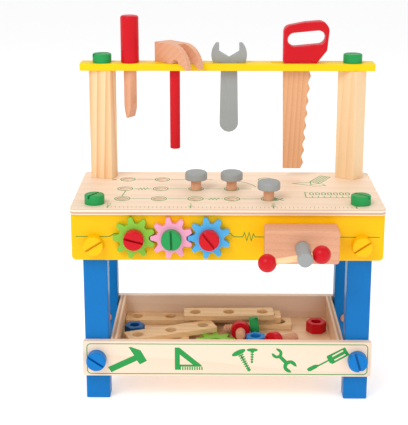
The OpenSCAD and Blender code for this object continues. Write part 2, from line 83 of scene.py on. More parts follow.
def spot(x: float, d: float, z: float) -> Matrix:
    """Placement at a point given by its depth behind the tabletop's front edge."""
    return Matrix.Translation((x, FRONT_EDGE_Y + d, z))


def rotation(degrees: float, axis: str) -> Matrix:
    """A turn about one of the axes."""
    return Matrix.Rotation(math.radians(degrees), 4, axis)


def upright(d: float) -> Matrix:
    """Stands a flat shape up so that it faces the front, with its back face at depth d."""
    return spot(0, d, 0) @ rotation(90, "X")


# ---- Flat outlines ----


def arc(cx: float, cy: float, r: float, start: float, end: float, steps: int = 8) -> Outline:
    """Points along an arc.

    Args:
        cx: Centre across.
        cy: Centre up.
        r: Radius.
        start: First angle in degrees.
        end: Last angle in degrees.
        steps: Number of chords.

    Returns:
        The arc's points, both ends included.
    """
    angles = [math.radians(start + (end - start) * i / steps) for i in range(steps + 1)]
    return [(cx + r * math.cos(a), cy + r * math.sin(a)) for a in angles]


def ring(r: float, cx: float = 0.0, cy: float = 0.0, count: int = 48) -> Outline:
    """A circle's points, anticlockwise."""
    return arc(cx, cy, r, 0, 360 * (count - 1) / count, count - 1)


def rounded(w: float, h: float, r: float, cx: float = 0.0, cy: float = 0.0, steps: int = 5) -> Outline:
    """A rectangle with round corners.

    Args:
        w: Width.
        h: Height.
        r: Corner radius.
        cx: Centre across.
        cy: Centre up.
        steps: Chords in each corner.

    Returns:
        The outline, anticlockwise.
    """
    x, y = w / 2 - r, h / 2 - r
    return (
        arc(cx + x, cy + y, r, 0, 90, steps)
        + arc(cx - x, cy + y, r, 90, 180, steps)
        + arc(cx - x, cy - y, r, 180, 270, steps)
        + arc(cx + x, cy - y, r, 270, 360, steps)
    )


def swung(outline: Outline, degrees: float, cx: float, cy: float) -> Outline:
    """An outline turned about zero and then moved.

    Args:
        outline: The outline.
        degrees: The turn.
        cx: The move across.
        cy: The move up.

    Returns:
        The new outline.
    """
    c, s = math.cos(math.radians(degrees)), math.sin(math.radians(degrees))
    return [(cx + x * c - y * s, cy + x * s + y * c) for x, y in outline]


def area(outline: Outline) -> float:
    """Signed area of an outline: positive if it runs anticlockwise."""
    pairs = zip(outline, outline[1:] + outline[:1])
    return sum(a[0] * b[1] - b[0] * a[1] for a, b in pairs) / 2


def inside(point: Vector, outline: Sequence[Vector]) -> bool:
    """Whether a point lies inside an outline.

    Args:
        point: The point.
        outline: The outline's corners.

    Returns:
        True if it does.
    """
    hit = False
    for a, b in zip(outline, [*outline[1:], outline[0]]):
        if (a[1] > point[1]) != (b[1] > point[1]):
            if point[0] < a[0] + (point[1] - a[1]) * (b[0] - a[0]) / (b[1] - a[1]):
                hit = not hit
    return hit


def miters(outline: Outline) -> list[Vector]:
    """For each corner, the step to its left that moves both sides in by one unit.

    Args:
        outline: The closed outline.

    Returns:
        One step for each corner.
    """
    count = len(outline)
    found = []
    for i in range(count):
        before, here, after = (Vector(outline[(i + k) % count]) for k in (-1, 0, 1))
        one, two = (here - before).normalized(), (after - here).normalized()
        left, right = Vector((-one.y, one.x)), Vector((-two.y, two.x))
        found.append((left + right) / max(0.3, 1 + left.dot(right)))
    return found


def stroke(path: Outline, width: float, closed: bool = False) -> list[Outline]:
    """Outlines of a drawn line of even width.

    Args:
        path: The line's middle.
        width: The line's width.
        closed: Whether the line joins its own start.

    Returns:
        One outline, or the outer and the inner one of a closed line.
    """
    half = width / 2
    if closed:
        steps = miters(path)
        sides = [
            [(p[0] + s.x * k, p[1] + s.y * k) for p, s in zip(path, steps)] for k in (-half, half)
        ]
        return sorted(sides, key=lambda side: -abs(area(side)))
    left, right = [], []
    for i, here in enumerate(path):
        a = Vector(path[max(i - 1, 0)])
        b = Vector(path[min(i + 1, len(path) - 1)])
        one = (Vector(here) - a).normalized() if i else (b - Vector(here)).normalized()
        two = (b - Vector(here)).normalized() if i < len(path) - 1 else one
        n1, n2 = Vector((-one.y, one.x)), Vector((-two.y, two.x))
        step = (n1 + n2) / max(0.16, 1 + n1.dot(n2)) * half
        left.append((here[0] + step.x, here[1] + step.y))
        right.append((here[0] - step.x, here[1] - step.y))
    return [left + right[::-1]]


# ---- Solid shapes ----


@dataclass
class Shape:
    """A mesh in the making, in millimetres, with a mark on its rounded edges where a painted highlight
    goes.
    """

    points: list[Vector] = field(default_factory=list)
    faces: list[tuple[int, ...]] = field(default_factory=list)
    edge_highlight: list[float] = field(default_factory=list)

    def add(self, other: "Shape", place: Matrix = Matrix.Identity(4)) -> "Shape":
        """Adds another shape's surface to this one.

        Args:
            other: The shape to copy.
            place: Where it goes.

        Returns:
            This shape.
        """
        base = len(self.points)
        self.points += [place @ p for p in other.points]
        self.faces += [tuple(base + i for i in face) for face in other.faces]
        self.edge_highlight += other.edge_highlight
        return self

    def at(self, place: Matrix) -> "Shape":
        """A copy of this shape, placed."""
        return Shape().add(self, place)

    def mesh(self, name: str) -> bpy.types.Mesh:
        """Makes the Blender mesh, in metres, with its faces outwards.

        Args:
            name: The mesh's name.

        Returns:
            The mesh, smooth, with the edge mark for the painted highlight as a point attribute.
        """
        made = bpy.data.meshes.new(name)
        made.from_pydata([p * MM for p in self.points], [], self.faces)
        made.attributes.new("soft_edge", "FLOAT", "POINT").data.foreach_set("value", self.edge_highlight)
        work = bmesh.new()
        work.from_mesh(made)
        bmesh.ops.remove_doubles(work, verts=work.verts, dist=1e-7)
        bmesh.ops.recalc_face_normals(work, faces=work.faces)
        work.to_mesh(made)
        work.free()
        made.shade_smooth()
        return made


def shape_of(mesh: bpy.types.Mesh) -> Shape:
    """Reads a Blender mesh, in metres, back as a shape in millimetres.

    Args:
        mesh: The mesh.

    Returns:
        Its shape, with the edge mark for the painted highlight if it has one.
    """
    count = len(mesh.vertices)
    marks = [0.0] * count
    if "soft_edge" in mesh.attributes:
        mesh.attributes["soft_edge"].data.foreach_get("value", marks)
    faces = [tuple(p.vertices) for p in mesh.polygons]
    return Shape([v.co / MM for v in mesh.vertices], faces, marks)


def slab(
    outline: Outline,
    thick: float,
    holes: Iterable[Outline] = (),
    soft: float = 0.8,
    soft_top: float | None = None,
    steps: int = 3,
) -> Shape:
    """A board with rounded edges, also round its holes.

    Args:
        outline: The board's outer outline.
        thick: Its thickness, upwards from zero.
        holes: Outlines of the holes through it.
        soft: Radius of the lower edges' rounding.
        soft_top: Radius of the upper edges' rounding, if it differs.
        steps: Chords in each rounding.

    Returns:
        The closed shape.
    """
    loops = [outline if area(outline) > 0 else outline[::-1]]
    loops += [hole if area(hole) < 0 else hole[::-1] for hole in holes]
    top = soft if soft_top is None else soft_top
    angles = [math.pi / 2 * i / steps for i in range(steps + 1)]
    bend = [(1 - math.sin(a), 1 - math.cos(a)) for a in angles]
    low = [(soft * x, soft * z) for x, z in bend] if soft else [(0.0, 0.0)]
    high = [(top * x, thick - top * z) for x, z in bend] if top else [(0.0, thick)]
    levels = low + high[::-1]
    # Rounding levels are marked for the painted edge highlight.
    marks = [1.0 if 0 < inset < max(soft, top) else 0.0 for inset, _ in levels]
    made = Shape()
    first: list[int] = []
    last: list[int] = []
    loop_ids: list[list[int]] = []
    for loop in loops:
        steps_in, count = miters(loop), len(loop)
        base = len(made.points)
        for (inset, z), mark in zip(levels, marks):
            made.points += [
                Vector((p[0] + s.x * inset, p[1] + s.y * inset, z)) for p, s in zip(loop, steps_in)
            ]
            made.edge_highlight += [mark] * count
        for level in range(len(levels) - 1):
            row = base + level * count
            for i in range(count):
                j = (i + 1) % count
                made.faces.append((row + i, row + j, row + count + j, row + count + i))
        loop_ids.append(list(range(len(first), len(first) + count)))
        first += range(base, base + count)
        last += range(base + (len(levels) - 1) * count, base + len(levels) * count)
    edges = [(ids[i], ids[(i + 1) % len(ids)]) for ids in loop_ids for i in range(len(ids))]
    for ids, flip in ((first, True), (last, False)):
        flat = [made.points[i].to_2d() for i in ids]
        voids = [[flat[i] for i in loop] for loop in loop_ids[1:]]
        found = delaunay_2d_cdt(flat, edges, [], 1, 1e-6)
        for face in found[2]:
            middle = sum((found[0][i] for i in face), Vector((0, 0))) / len(face)
            if any(inside(middle, void) for void in voids):
                continue
            corner = [ids[found[3][i][0]] for i in face if found[3][i]]
            made.faces.append(tuple(corner[::-1] if flip else corner))
    return made


def turned(profile: Outline, count: int = 48) -> Shape:
    """A turned piece: a profile of (radius, height) pairs spun round the Z axis.

    Args:
        profile: The profile, from the lower pole to the upper one.
        count: Number of sides.

    Returns:
        The closed shape.
    """
    made, rows = Shape(), []
    for r, z in profile:
        if r < 1e-6:
            rows.append([len(made.points)] * count)
            made.points.append(Vector((0, 0, z)))
            made.edge_highlight.append(0.0)
            continue
        rows.append(list(range(len(made.points), len(made.points) + count)))
        for x, y in ring(r, count=count):
            made.points.append(Vector((x, y, z)))
            made.edge_highlight.append(0.0)
    for low, high in zip(rows, rows[1:]):
        for i in range(count):
            j = (i + 1) % count
            corners = list(dict.fromkeys((low[i], low[j], high[j], high[i])))
            if len(corners) > 2:
                made.faces.append(tuple(corners))
    return made


def drum(
    r: float, low: float, high: float, soft: Point, steps: tuple[int, int] = (4, 7), count: int = 56
) -> Shape:
    """A round block on the Z axis with softened ends.

    Args:
        r: Radius.
        low: Height of its foot.
        high: Height of its top.
        soft: Radii of the lower and the upper edge's rounding.
        steps: Chords in each rounding.
        count: Number of sides.

    Returns:
        The closed shape.
    """
    foot = arc(r - soft[0], low + soft[0], soft[0], -90, 0, steps[0])
    top = arc(r - soft[1], high - soft[1], soft[1], 0, 90, steps[1])
    return turned([(0, low)] + foot + top + [(0, high)], count)


def rod(r: float, low: float, high: float, soft: float = 0.6, count: int = 32) -> Shape:
    """A dowel with softened ends."""
    return drum(r, low, high, (soft, soft), (3, 3), count)


# ---- Node trees ----


class Kind(Enum):
    """Socket kinds of a node tree."""

    NUMBER = "NodeSocketFloat"
    WHOLE = "NodeSocketInt"
    VECTOR = "NodeSocketVector"
    MATERIAL = "NodeSocketMaterial"
    GEOMETRY = "NodeSocketGeometry"


class Net:
    """A small helper around a node tree."""

    def __init__(self, tree: bpy.types.NodeTree) -> None:
        """Starts on a tree.

        Args:
            tree: The tree that nodes are added to.
        """
        self.tree = tree

    def node(self, kind: str, inputs: dict | None = None, **settings: object) -> bpy.types.Node:
        """Adds a node.

        Args:
            kind: The node's type name.
            inputs: Values or sockets for its inputs, by name or number.
            settings: Properties of the node itself.

        Returns:
            The node.
        """
        made = self.tree.nodes.new(kind)
        for name, value in settings.items():
            setattr(made, name, value)
        for key, value in (inputs or {}).items():
            if isinstance(value, bpy.types.NodeSocket):
                self.tree.links.new(value, made.inputs[key])
            else:
                made.inputs[key].default_value = value
        return made

    def math(self, operation: str, *values: object) -> bpy.types.NodeSocket:
        """Adds a Math node and returns its output."""
        return self.node("ShaderNodeMath", dict(enumerate(values)), operation=operation).outputs[0]

    def mix(self, share: object, a: object, b: object, blend: str = "MIX") -> bpy.types.NodeSocket:
        """Adds a colour Mix node and returns its output."""
        made = self.node("ShaderNodeMix", {0: share, 6: a, 7: b}, data_type="RGBA", blend_type=blend)
        return made.outputs[2]

    def spread(self, value: object, low: float, high: float) -> bpy.types.NodeSocket:
        """Maps a value from 0..1 to low..high and returns the output."""
        made = self.node("ShaderNodeMapRange", {0: value, 3: low, 4: high})
        return made.outputs[0]


def new_group(
    name: str, takes: dict[str, Kind], gives: dict[str, Kind], kind: str = "ShaderNodeTree"
) -> tuple[Net, bpy.types.Node, bpy.types.Node]:
    """Starts a node group.

    Args:
        name: The group's name.
        takes: Its inputs.
        gives: Its outputs.
        kind: The tree's type name.

    Returns:
        The net, and the group's input and output nodes.
    """
    tree = bpy.data.node_groups.new(name, kind)
    for side, sockets in (("INPUT", takes), ("OUTPUT", gives)):
        for label, socket in sockets.items():
            tree.interface.new_socket(label, in_out=side, socket_type=socket.value)
    net = Net(tree)
    return net, net.node("NodeGroupInput"), net.node("NodeGroupOutput")


def grain_group() -> bpy.types.NodeTree:
    """Wood figure along the incoming vector's X: growth bands, fine fibres and pores.

    Returns:
        The group, made once.
    """
    if "Wood grain" in bpy.data.node_groups:
        return bpy.data.node_groups["Wood grain"]
    takes = {
        "Vector": Kind.VECTOR, "Bands": Kind.NUMBER, "Waver": Kind.NUMBER, "Fibres": Kind.NUMBER,
    }
    gives = {"Band": Kind.NUMBER, "Fibre": Kind.NUMBER, "Pore": Kind.NUMBER}
    net, start, end = new_group("Wood grain", takes, gives)
    band_stretch, fibre_stretch, pore_stretch = 0.05, 0.03, 0.16
    long, fine, short = (
        net.node("ShaderNodeVectorMath", {0: start.outputs[0], 1: (k, 1.0, 1.0)}, operation="MULTIPLY")
        for k in (band_stretch, fibre_stretch, pore_stretch)
    )
    bands = net.node(
        "ShaderNodeTexWave",
        {"Vector": long.outputs[0], "Scale": start.outputs[1], "Distortion": start.outputs[2],
         "Detail": 2.0, "Detail Scale": 0.9},
        bands_direction="DIAGONAL", wave_profile="SAW",
    )
    fibres = net.node(
        "ShaderNodeTexNoise",
        {"Vector": fine.outputs[0], "Scale": start.outputs[3], "Detail": 4.0, "Roughness": 0.6},
    )
    pores = net.node(
        "ShaderNodeTexNoise",
        {"Vector": short.outputs[0], "Scale": start.outputs[3], "Detail": 2.0, "Roughness": 0.5},
    )
    dark_pores = net.node("ShaderNodeMapRange", {0: pores.outputs[0], 1: 0.6, 2: 0.72})
    results = {"Band": bands.outputs[1], "Fibre": fibres.outputs[0], "Pore": dark_pores.outputs[0]}
    for label, output in results.items():
        net.tree.links.new(output, end.inputs[label])
    return net.tree


def highlight_and_drift_group() -> bpy.types.NodeTree:
    """Painted highlight: paler rounded edges in patches, and a slow drift of tone.

    Returns:
        The group, made once.
    """
    if "Handling marks" in bpy.data.node_groups:
        return bpy.data.node_groups["Handling marks"]
    takes = {"Vector": Kind.VECTOR, "Patch size": Kind.NUMBER}
    gives = {"Painted edge highlight": Kind.NUMBER, "Drift": Kind.NUMBER}
    net, start, end = new_group("Handling marks", takes, gives)
    mark = net.node("ShaderNodeAttribute", attribute_name="soft_edge")
    patch = net.node(
        "ShaderNodeTexNoise", {"Vector": start.outputs[0], "Scale": start.outputs[1], "Detail": 3.0}
    )
    strong = net.node("ShaderNodeMapRange", {0: patch.outputs[0], 1: 0.45, 2: 0.7})
    # Painted highlight: the rounded-edge mark, broken into patches.
    painted_highlight = net.math("MULTIPLY", mark.outputs["Fac"], strong.outputs[0])
    drift = net.node("ShaderNodeTexNoise", {"Vector": start.outputs[0], "Scale": 0.35, "Detail": 1.0})
    net.tree.links.new(painted_highlight, end.inputs["Painted edge highlight"])
    net.tree.links.new(drift.outputs[0], end.inputs["Drift"])
    return net.tree


class Along(Enum):
    """The bench axis that a board's grain runs along, as the turn that brings it to X."""

    WIDTH = (0.0, 0.0, 0.0)
    DEPTH = (0.0, 0.0, -90.0)
    HEIGHT = (0.0, 90.0, 0.0)


class Finish:
    """A finish that can be put on a piece."""

    name: str

    def dress(self, net: Net, shader: bpy.types.Node) -> None:
        """Wires the finish's own nodes into the shader."""
        raise NotImplementedError

    def material(self) -> bpy.types.Material:
        """The finish's material, made once.

        Returns:
            The material.
        """
        if self.name in bpy.data.materials:
            return bpy.data.materials[self.name]
        made = bpy.data.materials.new(self.name)
        made.use_nodes = True
        made.node_tree.nodes.clear()
        net = Net(made.node_tree)
        shader = net.node("ShaderNodeBsdfPrincipled")
        out = net.node("ShaderNodeOutputMaterial")
        net.tree.links.new(shader.outputs[0], out.inputs[0])
        self.dress(net, shader)
        return made


def grain_nodes(
    net: Net, along: Along, bands: float, waver: float, fibres: float
) -> tuple[bpy.types.Node, bpy.types.Node]:
    """Adds centimetre coordinates turned along the grain, and the grain group on them.

    Args:
        net: The material's net.
        along: Direction of the grain.
        bands: Growth bands' frequency.
        waver: How much they wander.
        fibres: The fibres' frequency.

    Returns:
        The mapping node and the group node.
    """
    coords = net.node("ShaderNodeTexCoord")
    turn = tuple(math.radians(a) for a in along.value)
    place = net.node(
        "ShaderNodeMapping",
        {"Vector": coords.outputs["Object"], "Rotation": turn, "Scale": (100.0, 100.0, 100.0)},
    )
    grain = net.node("ShaderNodeGroup", node_tree=grain_group())
    net.tree.links.new(place.outputs[0], grain.inputs["Vector"])
    for label, value in (("Bands", bands), ("Waver", waver), ("Fibres", fibres)):
        grain.inputs[label].default_value = value
    return place, grain


def bump(
    net: Net, shader: bpy.types.Node, height: bpy.types.NodeSocket, strength: float, depth: float
) -> None:
    """Wires a height into the shader's normal.

    Args:
        net: The material's net.
        shader: The shader that takes the normal.
        height: The height, 0 to 1.
        strength: How much of it shows.
        depth: Its full depth in metres.
    """
    made = net.node("ShaderNodeBump", {"Strength": strength, "Distance": depth, "Height": height})
    net.tree.links.new(made.outputs[0], shader.inputs["Normal"])


@dataclass(frozen=True)
class Lacquer(Finish):
    """Coloured lacquer on wood: the fibres still show faintly through it, and its rounded edges carry a
    painted highlight.
    """

    name: str
    colour: Colour
    along: Along = Along.WIDTH
    rough: float = 0.36
    coat: float = 0.06
    show: float = 0.16
    # Strength of the painted highlight on rounded edges.
    edge_highlight: float = 0.35

    def dress(self, net: Net, shader: bpy.types.Node) -> None:
        """Wires colour, a painted highlight on rounded edges, gloss and a slight fibre relief.

        Args:
            net: The material's net.
            shader: The shader that shows it.
        """
        place, grain = grain_nodes(net, self.along, 0.5, 3.0, 14.0)
        marks = net.node("ShaderNodeGroup", node_tree=highlight_and_drift_group())
        net.tree.links.new(place.outputs[0], marks.inputs["Vector"])
        marks.inputs["Patch size"].default_value = 1.4
        deep = tuple(int(c * 0.82) for c in self.colour)
        pale = tuple(int(c + (255 - c) * 0.45) for c in self.colour)
        fibre = net.spread(grain.outputs["Fibre"], 0.0, self.show * 2)
        body = net.mix(fibre, linear(self.colour), linear(deep))
        drift = net.spread(marks.outputs["Drift"], 0.0, 0.25)
        body = net.mix(drift, body, linear(deep))
        # Painted highlight: rounded edges are mixed toward a paler colour.
        painted_highlight = net.math("MULTIPLY", marks.outputs["Painted edge highlight"], self.edge_highlight)
        body = net.mix(painted_highlight, body, linear(pale))
        net.tree.links.new(body, shader.inputs["Base Color"])
        gloss = net.spread(grain.outputs["Fibre"], self.rough - 0.06, self.rough + 0.1)
        net.tree.links.new(gloss, shader.inputs["Roughness"])
        shader.inputs["Coat Weight"].default_value = self.coat
        shader.inputs["Coat Roughness"].default_value = 0.18
        shader.inputs["Specular IOR Level"].default_value = 0.16
        bump(net, shader, grain.outputs["Fibre"], 0.25, 0.0002)


@dataclass(frozen=True)
class Timber(Finish):
    """Bare sanded wood with growth bands, fibres and pores."""

    name: str
    light: Colour
    dark: Colour
    along: Along = Along.WIDTH
    bands: float = 0.55
    waver: float = 3.0
    figure: float = 0.7
    pores: float = 0.0
    rough: float = 0.55

    def dress(self, net: Net, shader: bpy.types.Node) -> None:
        """Wires the figure's colours, the pores, roughness and relief.

        Args:
            net: The material's net.
            shader: The shader that shows it.
        """
        _, grain = grain_nodes(net, self.along, self.bands, self.waver, 16.0)
        sharp = net.math("POWER", grain.outputs["Band"], 2.2)
        share = net.math("MULTIPLY", sharp, self.figure)
        body = net.mix(share, linear(self.light), linear(self.dark))
        fibre = net.spread(grain.outputs["Fibre"], 0.0, 0.35)
        body = net.mix(fibre, body, linear(self.dark))
        if self.pores:
            deep = tuple(int(c * 0.72) for c in self.dark)
            spots = net.math("MULTIPLY", grain.outputs["Pore"], self.pores)
            body = net.mix(spots, body, linear(deep))
        net.tree.links.new(body, shader.inputs["Base Color"])
        gloss = net.spread(grain.outputs["Fibre"], self.rough - 0.08, self.rough + 0.1)
        net.tree.links.new(gloss, shader.inputs["Roughness"])
        bump(net, shader, grain.outputs["Fibre"], 0.3, 0.0003)


@dataclass(frozen=True)
class Plywood(Finish):
    """Birch plywood: a pale face, and stripes of plies on the cut edges."""

    name: str
    light: Colour
    dark: Colour
    ply: Colour
    along: Along = Along.WIDTH
    across: int = 2
    plies: float = 2.8

    def dress(self, net: Net, shader: bpy.types.Node) -> None:
        """Wires the face's figure and the edge's plies by where the surface faces.

        Args:
            net: The material's net.
            shader: The shader that shows it.
        """
        _, grain = grain_nodes(net, self.along, 0.22, 5.0, 13.0)
        share = net.math("MULTIPLY", grain.outputs["Band"], 0.4)
        face = net.mix(share, linear(self.light), linear(self.dark))
        fibre = net.spread(grain.outputs["Fibre"], 0.0, 0.4)
        face = net.mix(fibre, face, linear(self.dark))
        coords = net.node("ShaderNodeTexCoord")
        where = net.node("ShaderNodeSeparateXYZ", {0: coords.outputs["Object"]})
        facing = net.node("ShaderNodeSeparateXYZ", {0: coords.outputs["Normal"]})
        thick = net.math("MULTIPLY", where.outputs[self.across], 1.0 / (self.plies * MM))
        layer = net.node(
            "ShaderNodeMapRange", {0: net.math("PINGPONG", thick, 1.0), 1: 0.35, 2: 0.65},
            interpolation_type="SMOOTHSTEP",
        )
        warm = net.mix(layer.outputs[0], linear(self.ply), linear(self.light))
        tilt = net.math("ABSOLUTE", facing.outputs[self.across])
        flat = net.node("ShaderNodeMapRange", {0: tilt, 1: 0.35, 2: 0.75})
        body = net.mix(flat.outputs[0], warm, face)
        net.tree.links.new(body, shader.inputs["Base Color"])
        gloss = net.spread(grain.outputs["Fibre"], 0.42, 0.6)
        net.tree.links.new(gloss, shader.inputs["Roughness"])
        bump(net, shader, grain.outputs["Fibre"], 0.25, 0.0002)


@dataclass(frozen=True)
class Ink(Finish):
    """Screen-printed ink: thin, a little uneven, duller than lacquer."""

    name: str
    colour: Colour

    def dress(self, net: Net, shader: bpy.types.Node) -> None:
        """Wires an uneven ink colour and its dull gloss.

        Args:
            net: The material's net.
            shader: The shader that shows it.
        """
        _, grain = grain_nodes(net, Along.WIDTH, 0.5, 2.0, 18.0)
        deep = tuple(int(c * 0.85) for c in self.colour)
        share = net.spread(grain.outputs["Fibre"], 0.0, 0.5)
        body = net.mix(share, linear(self.colour), linear(deep))
        net.tree.links.new(body, shader.inputs["Base Color"])
        gloss = net.spread(grain.outputs["Pore"], 0.5, 0.65)
        net.tree.links.new(gloss, shader.inputs["Roughness"])


BLUE = Lacquer("Blue lacquer", (0, 120, 198), Along.HEIGHT, rough=0.34)
ROYAL = Lacquer("Blue screw lacquer", (0, 124, 204), show=0.1)
NAVY = Lacquer("Deep blue lacquer", (20, 98, 166), show=0.1)
MID_BLUE = Lacquer("Mid blue lacquer", (34, 134, 212), show=0.1)
SKY = Lacquer("Light blue lacquer", (84, 182, 240), show=0.12)
YELLOW = Lacquer("Yellow lacquer", (255, 198, 0), rough=0.4, show=0.06)
SHELF_YELLOW = Lacquer("Shelf yellow lacquer", (255, 214, 0), rough=0.42, show=0.08)
RED = Lacquer("Red lacquer", (214, 14, 30), Along.HEIGHT, rough=0.32, show=0.14)
GREEN = Lacquer("Green lacquer", (40, 160, 84), show=0.12)
LIME = Lacquer("Lime lacquer", (142, 204, 66), show=0.14)
PINK = Lacquer("Pink lacquer", (252, 172, 204), show=0.1)
GREY = Lacquer("Grey lacquer", (168, 171, 170), Along.HEIGHT, rough=0.5, coat=0.1, show=0.3)
BIRCH = Plywood("Birch tabletop", (251, 228, 204), (232, 198, 166), (206, 168, 142))
TRAY_PLY = Plywood("Birch tray sides", (238, 208, 174), (214, 172, 130), (196, 150, 118), Along.DEPTH,
                   across=0, plies=3.0)
BOARD = Timber("Birch boards", (250, 226, 204), (236, 204, 174), bands=0.16, waver=5.0, figure=0.4)
TRAY_FLOOR = Timber("Tray floor", (244, 212, 174), (222, 178, 134), bands=0.2, waver=5.0, figure=0.5)
POST = Timber("Pine posts", (250, 218, 172), (226, 160, 98), Along.HEIGHT, bands=0.42, waver=2.2,
              figure=0.85)
PLAIN_POST = Timber("Plain pine post", (247, 214, 170), (231, 182, 126), Along.HEIGHT, bands=0.3,
                    waver=1.5, figure=0.45)
BEAM = Timber("Pine beams", (244, 212, 164), (222, 176, 120), bands=0.5, waver=2.5, figure=0.7)
BEECH = Timber("Beech", (230, 172, 136), (208, 144, 108), bands=0.6, waver=2.0, figure=0.4, pores=0.5)
BEECH_UP = Timber("Upright beech", (230, 172, 136), (208, 144, 108), Along.HEIGHT, bands=0.6, waver=2.0,
                  figure=0.4, pores=0.5)
SAW_WOOD = Timber("Saw blade wood", (232, 176, 130), (204, 138, 92), Along.HEIGHT, bands=0.9, waver=2.0,
                  figure=0.6, pores=0.35)
DOWEL = Timber("Birch dowel", (255, 216, 166), (238, 184, 130), bands=0.8, figure=0.4)
SHANK = Timber("Screw shank beech", (226, 172, 138), (196, 138, 104), bands=0.8, figure=0.4, pores=0.3)
PRINT = Ink("Green print", (0, 158, 66))
FINE_PRINT = Ink("Fine green print", (70, 160, 84))
RULER_PRINT = Ink("Ruler print", (188, 186, 128))
APRON_PRINT = Ink("Apron print", (84, 150, 14))


# ---- Geometry Nodes ----


def start_tree(name: str, takes: dict[str, Kind]) -> tuple[Net, bpy.types.Node, bpy.types.Node]:
    """Starts a Geometry Nodes tree that takes a mesh, named sizes and a finish.

    Args:
        name: The tree's name.
        takes: Its sizes.

    Returns:
        The net, and the tree's input and output nodes.
    """
    every = {"Geometry": Kind.GEOMETRY, **takes, "Finish": Kind.MATERIAL}
    return new_group(name, every, {"Geometry": Kind.GEOMETRY}, "GeometryNodeTree")


def end_tree(
    net: Net, start: bpy.types.Node, end: bpy.types.Node, last: bpy.types.Node
) -> bpy.types.NodeTree:
    """Ends a tree: makes its instances real and gives them the finish.

    Args:
        net: The tree's net.
        start: Its input node.
        end: Its output node.
        last: The node that gives the geometry.

    Returns:
        The tree.
    """
    real = net.node("GeometryNodeRealizeInstances", {0: last.outputs[0]})
    finish = start.outputs["Finish"]
    dressed = net.node("GeometryNodeSetMaterial", {0: real.outputs[0], "Material": finish})
    net.tree.links.new(dressed.outputs[0], end.inputs[0])
    return net.tree


class Copies:
    """A row of copies of the modelled piece, each with its own turn about its own axis."""

    NAME = "Row of copies"

    @classmethod
    def tree(cls) -> bpy.types.NodeTree:
        """The row's node tree, made once.

        Returns:
            The tree.
        """
        if cls.NAME in bpy.data.node_groups:
            return bpy.data.node_groups[cls.NAME]
        net, start, end = start_tree(cls.NAME, {
            "Count": Kind.WHOLE, "First place": Kind.VECTOR, "Step": Kind.VECTOR,
            "Facing": Kind.VECTOR, "First turn": Kind.NUMBER, "Turn step": Kind.NUMBER,
        })
        size = start.outputs
        line = net.node(
            "GeometryNodeMeshLine",
            {"Count": size["Count"], "Start Location": size["First place"], "Offset": size["Step"]},
        )
        index = net.node("GeometryNodeInputIndex")
        turn = net.math("MULTIPLY_ADD", index.outputs[0], size["Turn step"], size["First turn"])
        spin = net.node("ShaderNodeCombineXYZ", {2: turn})
        copies = net.node(
            "GeometryNodeInstanceOnPoints",
            {"Points": line.outputs[0], "Instance": size["Geometry"], "Rotation": size["Facing"]},
        )
        spun = net.node("GeometryNodeRotateInstances", {"Instances": copies.outputs[0]})
        spun.inputs["Local Space"].default_value = True
        net.tree.links.new(spin.outputs[0], spun.inputs["Rotation"])
        return end_tree(net, start, end, spun)


class Thread:
    """A dowel, hanging down from zero, with a coarse rounded thread cut into it."""

    NAME = "Wooden thread"

    @classmethod
    def tree(cls) -> bpy.types.NodeTree:
        """The thread's node tree, made once.

        Returns:
            The tree.
        """
        if cls.NAME in bpy.data.node_groups:
            return bpy.data.node_groups[cls.NAME]
        net, start, end = start_tree(cls.NAME, {
            "Radius": Kind.NUMBER, "Length": Kind.NUMBER, "Pitch": Kind.NUMBER,
            "Depth": Kind.NUMBER, "Rings": Kind.WHOLE, "Sides": Kind.WHOLE,
        })
        size = start.outputs
        blunt_over, blunt_by = 0.0022, 0.26
        dowel = net.node(
            "GeometryNodeMeshCylinder",
            {"Vertices": size["Sides"], "Side Segments": size["Rings"], "Radius": size["Radius"],
             "Depth": size["Length"]},
        )
        here = net.node("GeometryNodeInputPosition")
        x, y, z = net.node("ShaderNodeSeparateXYZ", {0: here.outputs[0]}).outputs
        turn = net.math("DIVIDE", net.math("ARCTAN2", y, x), math.tau)
        rise = net.math("DIVIDE", z, size["Pitch"])
        phase = net.math("MULTIPLY", net.math("SUBTRACT", rise, turn), math.tau)
        groove = net.math("MULTIPLY_ADD", net.math("COSINE", phase), -0.5, 0.5)
        share = net.math("DIVIDE", size["Depth"], size["Radius"])
        thin = net.math("SUBTRACT", 1.0, net.math("MULTIPLY", share, groove))
        half = net.math("MULTIPLY", size["Length"], 0.5)
        to_tip = net.math("ADD", z, half)
        blunt = net.node(
            "ShaderNodeMapRange", {0: to_tip, 1: 0.0, 2: blunt_over, 3: blunt_by, 4: 0.0}
        )
        keep = net.math("SUBTRACT", thin, blunt.outputs[0])
        place = net.node(
            "ShaderNodeCombineXYZ",
            {0: net.math("MULTIPLY", x, keep), 1: net.math("MULTIPLY", y, keep),
             2: net.math("SUBTRACT", z, half)},
        )
        threaded = net.node(
            "GeometryNodeSetPosition", {0: dowel.outputs[0], "Position": place.outputs[0]}
        )
        return end_tree(net, start, end, threaded)


